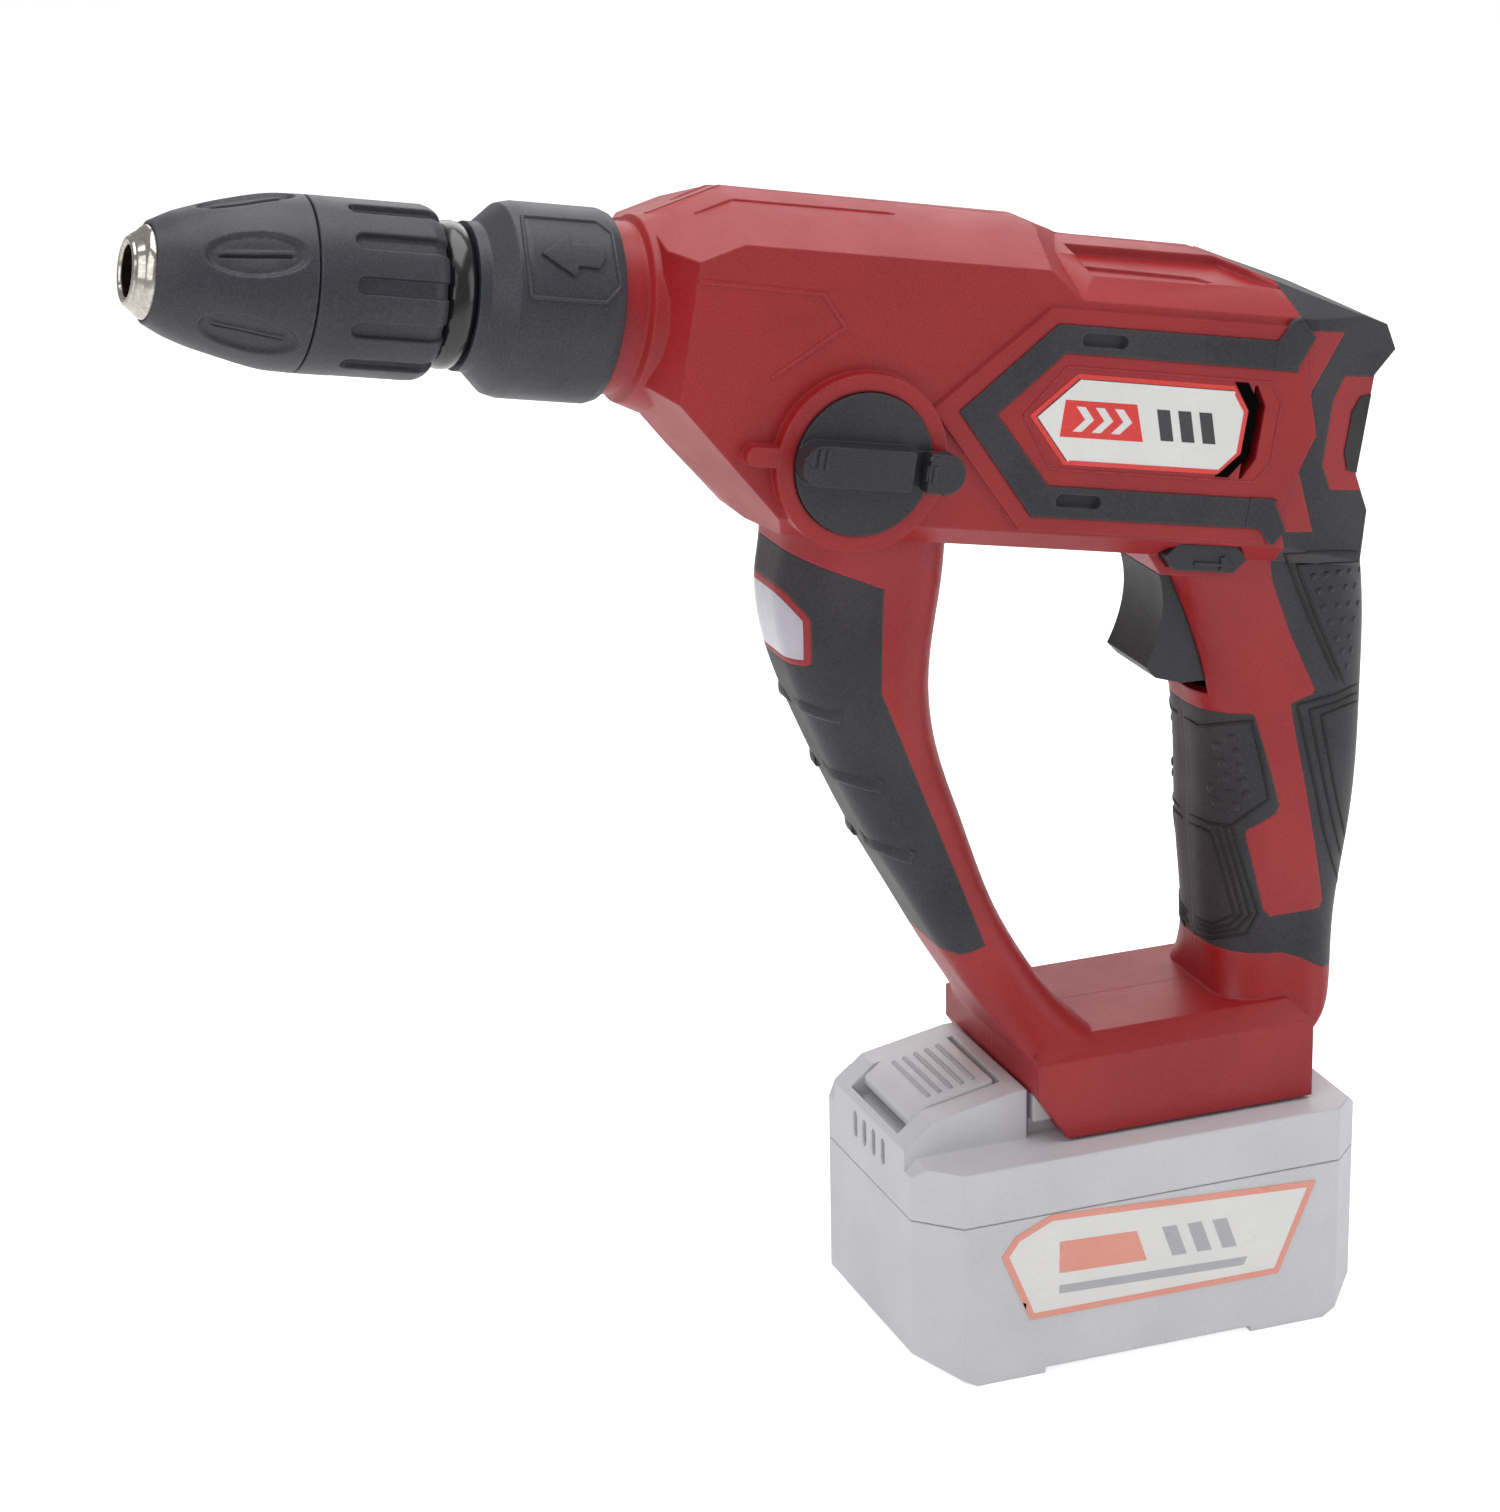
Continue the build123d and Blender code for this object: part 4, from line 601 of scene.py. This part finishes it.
roof_drop = from_roof(both_shells)
bead("roof_rib", "housing", RED, roof_drop, [[(17, -8), (66, -8)], [(17, 8), (66, 8)]], 0.6, 0.4)
# the seam line is drawn in darker red, painted shade standing in for the shaded seam
bead("roof_seam", "housing", RED_PAINTED_SHADE, roof_drop, [[(8, 0), (95, 0)], [(100, 0), (152, 0)]], 0.18, 0.06)

# ---------------------------------------------------------------- cooling scoops in the roof

def cutter(name, plan, floors, top=44.0):
    """A hidden prism over a plan of (s, y), whose underside slopes across the roof through the two
    (y, t) places in floors."""
    (y0, t0), (y1, t1) = floors
    low = [spot(s, y, t0 + (t1 - t0) * (y - y0) / (y1 - y0)) for s, y in plan]
    high = [spot(s, y, top) for s, y in plan]
    count = len(plan)
    mesh = bpy.data.meshes.new(name)
    mesh.from_pydata([tuple(p) for p in low + high], [],
                     [tuple(range(count)), tuple(reversed(range(count, 2 * count)))]
                     + [(k, (k + 1) % count, count + (k + 1) % count, count + k) for k in range(count)])
    work = bmesh.new()
    work.from_mesh(mesh)
    bmesh.ops.recalc_face_normals(work, faces=work.faces)
    work.to_mesh(mesh)
    work.free()
    mesh.materials.append(RED)
    made = bpy.data.objects.new(name, mesh)
    bpy.context.scene.collection.objects.link(made)
    made.hide_render = True
    made.hide_viewport = True
    return made


SCOOP = [(110.5, -7.1), (152, -6.8), (157.6, -15.4), (164, -19.9), (160, -20.6), (113, -20.6), (110.5, -14.6)]
STEP = [(111.5, -14.7), (141.8, -16.4), (145.5, -19.0), (142, -20.4), (113.4, -20.4)]
for name, sign in (("left_housing", 1), ("right_housing", -1)):
    node = frame["nodes"][name]
    mesh = node.data
    if "custom_normal" in mesh.attributes:
        mesh.attributes.remove(mesh.attributes["custom_normal"])
    mesh.shade_smooth()
    weld = node.modifiers.new("weld", "WELD")
    weld.merge_threshold = WELD_GAP
    for label, plan, floors in (("scoop", SCOOP, ((-7, 22.4), (-20.6, 20.1))),
                                ("step", STEP, ((-14.7, 20.3), (-20.4, 19.9)))):
        hole = cutter(f"{name}_{label}_cutter", [(s, y * sign) for s, y in plan],
                      [(y * sign, t) for y, t in floors])
        cut = node.modifiers.new(label, "BOOLEAN")
        cut.operation = "DIFFERENCE"
        cut.solver = "EXACT"
        cut.object = hole
    split = node.modifiers.new("split", "EDGE_SPLIT")
    split.split_angle = SHARP
    node.modifiers.new("weighted", "WEIGHTED_NORMAL")

# rubber that joins the ends of the motor band to the rear cap
BRIDGES = [[(160, 9.6), (163, 14.5), (165, 15.5), (168.2, 12.6), (169.7, 11.2), (166.3, 3.4), (160, 3.4)],
           [(160, -28.7), (166.3, -28.7), (171, -36.3), (168, -40), (163, -35.6), (160, -35.6)]]
band_height = height_at(surface("left_motor_band"), 150, 6.5)
for label, far in SIDES:
    plate(f"{label}_band_bridges", "housing", RUBBER, sighted_plane(band_height, far),
          [[shape] for shape in BRIDGES], 0.15, sink=2.5, step=1.5)

# ---------------------------------------------------------------- printed labels and their frames

LABEL_FIELD = [(100, -12.3), (109.5, -2.8), (150, -3), (154, -8), (154, -18), (150, -22.3), (109.5, -22.3)]


def grown(loop, amount):
    """The loop moved outwards by amount, corner by corner."""
    count = len(loop)
    double_area = sum(a[0] * b[1] - b[0] * a[1] for a, b in zip(loop, loop[1:] + loop[:1]))
    sign = 1 if double_area > 0 else -1
    moved = []
    for i, (u, v) in enumerate(loop):
        pu, pv = loop[i - 1]
        nu, nv = loop[(i + 1) % count]
        a = Vector((u - pu, v - pv)).normalized()
        b = Vector((nu - u, nv - v)).normalized()
        out_a = Vector((a.y, -a.x)) * sign
        out_b = Vector((b.y, -b.x)) * sign
        bisector = (out_a + out_b).normalized()
        reach = amount / max(0.35, bisector.dot(out_a))
        moved.append((u + bisector.x * reach, v + bisector.y * reach))
    return moved


BLOCK = [(107, -8), (125.6, -8), (128.8, -16.8), (107, -16.8)]
CHEVRONS = [[(110 + 5 * i, -9.4), (112.4 + 5 * i, -9.4), (115.2 + 5 * i, -12.4), (112.4 + 5 * i, -15.4),
             (110 + 5 * i, -15.4), (112.8 + 5 * i, -12.4)] for i in range(3)]
BARS = [[(131 + 5.6 * i, -8.8), (134.4 + 5.6 * i, -8.8), (136.8 + 5.6 * i, -16.2), (133.4 + 5.6 * i, -16.2)]
        for i in range(3)]
for label, far in SIDES:
    label_tree = surface("left_label", "left_housing")
    other = surface("right_label", "right_housing") if far else None
    drop = sighted(label_tree, True, other)
    plate(f"{label}_label_edge", "housing", LABEL_RED, drop, [[grown(LABEL_FIELD, 1.1), LABEL_FIELD]], 0.12)
    plate(f"{label}_label_block", "housing", LABEL_RED, drop, [[BLOCK, *CHEVRONS]], 0.05)
    plate(f"{label}_label_bars", "housing", LABEL_INK, drop, [[bar] for bar in BARS], 0.05)

PACK_FIELD = [(-39, 34), (-36, 38), (-27, 42), (44, 38), (35, 16.5), (-32, 17)]
PACK_BLOCK = [(-25, 35.6), (-4, 34.6), (-1, 26), (-25, 27)]
PACK_BARS = [[(3 + 7 * i, 34.3 - 0.35 * i), (7 + 7 * i, 34.1 - 0.35 * i), (10 + 7 * i, 25.7 - 0.3 * i),
              (6 + 7 * i, 25.9 - 0.3 * i)] for i in range(3)]
PACK_STRIPE = [(-25, 23.6), (27, 21.6), (26, 19.4), (-25, 21.4)]
pack_skin = surface("battery_labels", "battery_lower_case", "battery_upper_case")
for label, far in SIDES:
    drop = from_side(pack_skin, not far)
    print_height = abs(drop(0, 30)[0].y)
    sign = 1 if far else -1

    def on_print(x, z):
        return Vector((x * MM, sign * print_height, z * MM)), SIDE * sign

    plate(f"{label}_pack_label_edge", "battery", PALE_RED, on_print,
          [[grown(PACK_FIELD, 1.3), grown(PACK_FIELD, -0.3)]], 0.08)
    plate(f"{label}_pack_label_block", "battery", PALE_RED, drop, [[PACK_BLOCK]], 0.05)
    plate(f"{label}_pack_label_bars", "battery", PALE_INK, drop, [[bar] for bar in PACK_BARS + [PACK_STRIPE]],
          0.05)

# ---------------------------------------------------------------- rounded edges and latch ribs

def round_off(name, width, steps=3):
    """Gives a piece's sharp edges a small radius in mm."""
    node = frame["nodes"][name]
    if "custom_normal" in node.data.attributes:
        node.data.attributes.remove(node.data.attributes["custom_normal"])
    node.data.shade_smooth()
    weld = node.modifiers.new("weld", "WELD")
    weld.merge_threshold = WELD_GAP
    planes = node.modifiers.new("planes", "DECIMATE")
    planes.decimate_type = "DISSOLVE"
    planes.angle_limit = math.radians(1)
    rounding = node.modifiers.new("rounding", "BEVEL")
    rounding.width = width * MM
    rounding.segments = steps
    rounding.limit_method = "ANGLE"
    rounding.angle_limit = SHARP
    rounding.harden_normals = False
    node.modifiers.new("weighted", "WEIGHTED_NORMAL")


for name, width in (("battery_lower_case", 1.2), ("battery_upper_case", 0.9), ("battery_latch", 0.7),
                    ("mode_lock_button", 0.35), ("direction_slider", 0.35)):
    round_off(name, width)

latch_top = from_above(surface("battery_latch"))
RIBS = [[(x, -11.5), (x, 11.5)] for x in (-49, -46, -43, -40, -37)]
# the latch ribs are drawn darker than the latch, painted shade between the ribs
bead("latch_ribs", "latch", PACK_PAINTED_SHADE, latch_top, RIBS, 0.65, 0.55, taper=False)

# ---------------------------------------------------------------- cooling vents round the motor

VENT_THROAT = [(150.4, -1.0), (154.0, -1.0), (157.2, -5.4), (157.7, -12.2), (156.6, -19.2), (152.8, -24.0),
               (149.4, -24.0), (155.3, -18.0), (155.4, -7.6)]
SLOT_FLOORS = [[(109.6, 5.7), (118.8, 5.7), (118.8, 7.6), (109.6, 7.6)],
               [(109.6, -32.7), (118.8, -32.7), (118.8, -30.9), (109.6, -30.9)]]
REAR_SIDE = [(189.4, -2.2), (186.4, -2.8), (184.6, -6.6), (184.6, -16.8), (186.4, -21.0), (189.4, -21.6)]
label_height = height_at(surface("left_label"), 140, -12)
for label, far in SIDES:
    shell = surface("left_housing")
    drop = sighted(shell, True, surface("right_housing") if far else None)
    # the vent throat is a near-black plate, painted shadow where the vent opening is
    plate(f"{label}_vent_throat", "housing", SHADOW, sighted_plane(label_height, far), [[VENT_THROAT]], 0.06,
          step=1.0)
    plate(f"{label}_rear_vent_side", "housing", BLACK_PLASTIC, from_barrel_side(both_shells, not far),
          [[REAR_SIDE]], 0.3, step=1.0)
    # the slot floors are darker red, painted shade where the slots lie in shadow
    plate(f"{label}_band_slot_floors", "housing", RED_PAINTED_SHADE, drop, [[shape] for shape in SLOT_FLOORS], 0.1,
          step=1.0)
REAR_FRAME = [(-19, -1.2), (19, -1.2), (22.6, -6), (22.6, -18), (19, -22.8), (-19, -22.8), (-22.6, -18),
              (-22.6, -6)]
REAR_HOLE = [(-17.6, -2.6), (17.6, -2.6), (20.4, -6.8), (20.4, -17.2), (17.6, -21.4), (-17.6, -21.4),
             (-20.4, -17.2), (-20.4, -6.8)]
REAR_BARS = [[[(-19.5, t), (19.5, t), (19.5, t + 1.6), (-19.5, t + 1.6)]]
             for t in (-19.4, -15.0, -10.6, -6.2)]


def flat_rear(y, t):
    return spot(REAR_PLANE, y, t), ALONG


plate("rear_vent_frame", "housing", BLACK_PLASTIC, flat_rear, [[REAR_FRAME, REAR_HOLE]], 1.1, sink=1.0)
plate("rear_vent_bars", "housing", KNOB, flat_rear, REAR_BARS, 0.8, sink=1.0)

# ---------------------------------------------------------------- locking sleeve, knob, slider

collar = sighted(surface("lock_sleeve"), True, depth=0)
PANEL = [(-21, 19.2), (-3, 19.3), (1, 17), (5, 5), (2, 1), (-16, 1)]
ARROW = [(-15, 11), (-9.5, 15.8), (-8.5, 13.6), (-1.5, 13.8), (0.3, 11.6), (-0.9, 8.6), (-6, 8.8),
         (-6.4, 6.4)]
bead("collar_panel_line", "lock_collar", CHUCK, collar, [PANEL + PANEL[:1]], 0.55, 0.55, taper=False)
plate("collar_arrow", "lock_collar", CHUCK, collar, [[ARROW]], 0.75, step=1.2)

slider_height = height_at(surface("direction_slider"), 153.5, -46.3)
slider = sighted_plane(slider_height, False)
SLIDER_ARROW = [(148.0, -45.0), (155.2, -45.0), (154.6, -43.6), (155.8, -43.2), (158.4, -45.4),
                (155.6, -47.0), (154.8, -46.4), (155.6, -45.8), (148.0, -45.8)]
plate("slider_arrow", "direction", KNOB, slider, [[SLIDER_ARROW]], 0.5, step=0.8)

lever = sighted(surface("mode_knob"), True)
HAMMER_MARK = [[(44, -25.8), (46.4, -23.8), (46.4, -27.8)],
               [(47.4, -23.4), (48.3, -23.4), (48.3, -28.2), (47.4, -28.2)],
               [(49.3, -23.4), (50.2, -23.4), (50.2, -28.2), (49.3, -28.2)]]
plate("lever_mark", "selector", KNOB, lever, [[shape] for shape in HAMMER_MARK], 0.35, step=0.8)
lock = sighted(surface("mode_lock_button"), True)
plate("lock_button_mark", "selector_lock", KNOB, lock,
      [[[(74.4, -23.6), (77.4, -23.6), (77.4, -24.5), (74.4, -24.5)]],
       [[(74.4, -25.8), (75.3, -25.8), (75.3, -29.6), (74.4, -29.6)]],
       [[(76.5, -25.8), (77.4, -25.8), (77.4, -29.6), (76.5, -29.6)]]], 0.35, step=0.8)

# ---------------------------------------------------------------- chuck sleeves, nose and dust cap

def turned_piece(name, body, material, outline, relief=None, around=360, smooth=32.0):
    """A closed outline of (s, r) turned round the barrel axis; relief(s, r, degrees) is how far the
    surface sinks there, in mm."""
    points, faces = [], []
    for s, r in outline:
        for k in range(around):
            degrees = 360 * k / around
            turn = math.radians(degrees)
            depth = relief(s, r, degrees) if relief else 0.0
            outward = -SIDE * math.cos(turn) + UP * math.sin(turn)
            points.append(spot(s, 0, 0) + outward * (r - depth) * MM)
    count = len(outline)
    for i in range(count):
        j = (i + 1) % count
        for k in range(around):
            n = (k + 1) % around
            faces.append((i * around + k, i * around + n, j * around + n, j * around + k))
    return new_piece(name, points, faces, material, body, smooth)


def between(value, low, high):
    """Smooth step from 0 at low to 1 at high."""
    x = min(1.0, max(0.0, (value - low) / (high - low)))
    return x * x * (3 - 2 * x)


def along_curve(knots, count):
    """Points along a smooth curve through (s, r) knots."""
    found = []
    for i in range(count + 1):
        s = knots[0][0] + (knots[-1][0] - knots[0][0]) * i / count
        j = max(k for k in range(len(knots) - 1) if knots[k][0] <= s + 1e-9)
        (s0, r0), (s1, r1) = knots[j], knots[j + 1]
        x = (s - s0) / (s1 - s0)
        before = knots[j - 1] if j > 0 else (2 * s0 - s1, 2 * r0 - r1)
        after = knots[j + 2] if j + 2 < len(knots) else (2 * s1 - s0, 2 * r1 - r0)
        m0 = (r1 - before[1]) / (s1 - before[0]) * (s1 - s0)
        m1 = (after[1] - r0) / (after[0] - s0) * (s1 - s0)
        r = ((2 * x ** 3 - 3 * x ** 2 + 1) * r0 + (x ** 3 - 2 * x ** 2 + x) * m0
             + (3 * x ** 2 - 2 * x ** 3) * r1 + (x ** 3 - x ** 2) * m1)
        found.append((s, r))
    return found


SCOOP_MID, SCOOP_PHASE, SCOOP_HALF_LONG, SCOOP_HALF_WIDE = -85.0, 29.5, 11.4, 5.3
GROOVE_PHASE, GROOVE_HALF, GROOVE_START = 13.0, 2.0, -63.0


def scoop_relief(s, r, degrees):
    if r < 10.6:
        return 0.0
    off = (degrees - SCOOP_PHASE + 30) % 60 - 30
    across = math.radians(off) * r
    reach = math.hypot((s - SCOOP_MID) / SCOOP_HALF_LONG, across / SCOOP_HALF_WIDE)
    dish = 1.2 * (1 - between(reach, 0.86, 1.0)) + 0.5 * (1 - between(reach, 0.0, 0.9))
    half = 8.6 - abs(s - SCOOP_MID)
    fin = between(half, 0.0, 1.5)
    ridge = 0.5 * fin * (1 - between(abs(across - 0.55), 0.25, 0.7))
    slit = 0.7 * fin * (1 - between(abs(across + 0.25), 0.12, 0.4))
    return dish - ridge + slit


def groove_relief(s, r, degrees):
    if r < 17.2:
        return 0.0
    off = (degrees - GROOVE_PHASE + 15) % 30 - 15
    across = abs(math.radians(off) * r)
    before = max(0.0, GROOVE_START + GROOVE_HALF - s)
    reach = math.hypot(before, across)
    return 1.5 * (1 - between(reach, GROOVE_HALF - 0.35, GROOVE_HALF + 0.15))


ogive = along_curve([(-105.4, 11.4), (-100, 14.0), (-90, 17.1), (-80, 19.3), (-71.8, 19.8)], 110)
front_sleeve = turned_piece(
    "chuck_front_sleeve_shape", "chuck_sleeve", CHUCK,
    [(-105.4, 10.5), (-105.55, 11.0)] + ogive + [(-71.6, 19.6), (-71.6, 16.5), (-78.2, 16.5), (-78.2, 12.5),
                                                (-98.6, 12.5), (-98.6, 10.5)],
    scoop_relief)
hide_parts("chuck_front_sleeve")

barrel_line = [(-71.2 + 26.7 * i / 90, 19.8) for i in range(91)]
rear_sleeve = turned_piece(
    "chuck_rear_sleeve_shape", "chuck", CHUCK,
    [(-71.2, 17.05), (-71.2, 19.5)] + barrel_line[1:] + [(-43.6, 19.55), (-42.8, 19.25), (-42, 18.8),
                                                        (-41.4, 18.0), (-41.1, 17.4), (-41.1, 14),
                                                        (-42.8, 14), (-42.8, 17.05)],
    groove_relief, around=720)
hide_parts("chuck_rear_sleeve")

turned_piece("nose_shell", "chuck", NICKEL,
             [(-109.2, 5.85), (-109.9, 6.3), (-110.1, 6.9), (-109.8, 7.6), (-109.0, 7.95), (-108.7, 7.7),
              (-108.3, 8.2), (-107.6, 9.1), (-106.8, 9.9), (-106.1, 10.35), (-105.6, 10.45),
              (-105.6, 9.0), (-108.6, 7.0)], around=120)
cap = turned_piece("dust_cap_shape", frame["nodes"]["dust_cap"]["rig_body"], GLOSS,
                   [(-41.0, 12.0), (-41.0, 14.2), (-40.6, 15.2), (-39.6, 16.1), (-38.2, 16.65),
                    (-36.8, 16.75), (-35.4, 16.5), (-34.4, 15.9), (-33.9, 15.2), (-33.4, 15.0),
                    (-33.4, 12.0)], around=160)
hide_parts("dust_cap")


# ---------------------------------------------------------------- floor, light, camera

def area(name, place, aim, size, power, colour=(1, 1, 1)):
    data = bpy.data.lights.new(name, "AREA")
    data.shape = "RECTANGLE"
    data.size, data.size_y = size
    data.energy = power
    data.color = colour
    lamp = bpy.data.objects.new(name, data)
    bpy.context.scene.collection.objects.link(lamp)
    lamp.location = place
    lamp.rotation_mode = "QUATERNION"
    lamp.rotation_quaternion = (Vector(aim) - Vector(place)).to_track_quat("-Z", "Y")


MIDDLE = (0, 0, 0.15)
area("top_softbox", (-0.05, 0.05, 1.25), MIDDLE, (1.2, 1.0), 9.0)
area("left_softbox", (-1.05, -0.55, 0.75), MIDDLE, (0.8, 1.0), 3.0)
area("right_softbox", (0.95, -0.75, 0.6), MIDDLE, (0.7, 1.0), 2.6)
area("rear_softbox", (0.35, 1.05, 0.8), MIDDLE, (1.0, 0.8), 3.5)

floor_mesh = bpy.data.meshes.new("floor")
floor_mesh.from_pydata([(-40, -40, 0), (40, -40, 0), (40, 40, 0), (-40, 40, 0)], [], [(0, 1, 2, 3)])
floor = bpy.data.objects.new("floor", floor_mesh)
bpy.context.scene.collection.objects.link(floor)
floor_graph = Graph("pale_floor")
floor_graph.set("Base Color", (0.93, 0.93, 0.93, 1))
floor_graph.set("Roughness", 0.7)
floor_graph.set("Specular IOR Level", 0.2)
floor_graph.set("Emission Color", (1, 1, 1, 1))
seen = floor_graph.tree.nodes.new("ShaderNodeLightPath")
glow = floor_graph.tree.nodes.new("ShaderNodeMath")
glow.operation = "MULTIPLY_ADD"
floor_graph.tree.links.new(glow.inputs[0], seen.outputs["Is Camera Ray"])
glow.inputs[1].default_value = 0.5
glow.inputs[2].default_value = 0.15
floor_graph.set("Emission Strength", glow.outputs[0])
floor_mesh.materials.append(floor_graph.mat)
floor.location = (0, 0, -0.0002)

world = bpy.data.worlds.new("studio")
world.use_nodes = True
world.node_tree.nodes["Background"].inputs[0].default_value = (1, 1, 1, 1)
world.node_tree.nodes["Background"].inputs[1].default_value = 0.33
bpy.context.scene.world = world
bpy.context.scene.view_settings.view_transform = "Standard"

AZIMUTH, ELEVATION, ROLL = (math.radians(a) for a in (-20.38, 19.56, -1.15))
look = Vector((-math.sin(AZIMUTH) * math.cos(ELEVATION), math.cos(AZIMUTH) * math.cos(ELEVATION),
               -math.sin(ELEVATION)))
level_right = look.cross(Vector((0, 0, 1))).normalized()
level_up = level_right.cross(look)
right = level_right * math.cos(ROLL) + level_up * math.sin(ROLL)
above = level_up * math.cos(ROLL) - level_right * math.sin(ROLL)
camera_data = bpy.data.cameras.new("camera")
camera_data.lens = 99.69
camera_data.sensor_width = 36.0
camera_data.clip_end = 200
camera = bpy.data.objects.new("camera", camera_data)
bpy.context.scene.collection.objects.link(camera)
camera.matrix_world = Matrix((
    (right.x, above.x, -look.x, EYE.x),
    (right.y, above.y, -look.y, EYE.y),
    (right.z, above.z, -look.z, EYE.z),
    (0, 0, 0, 1),
))
bpy.context.scene.camera = camera
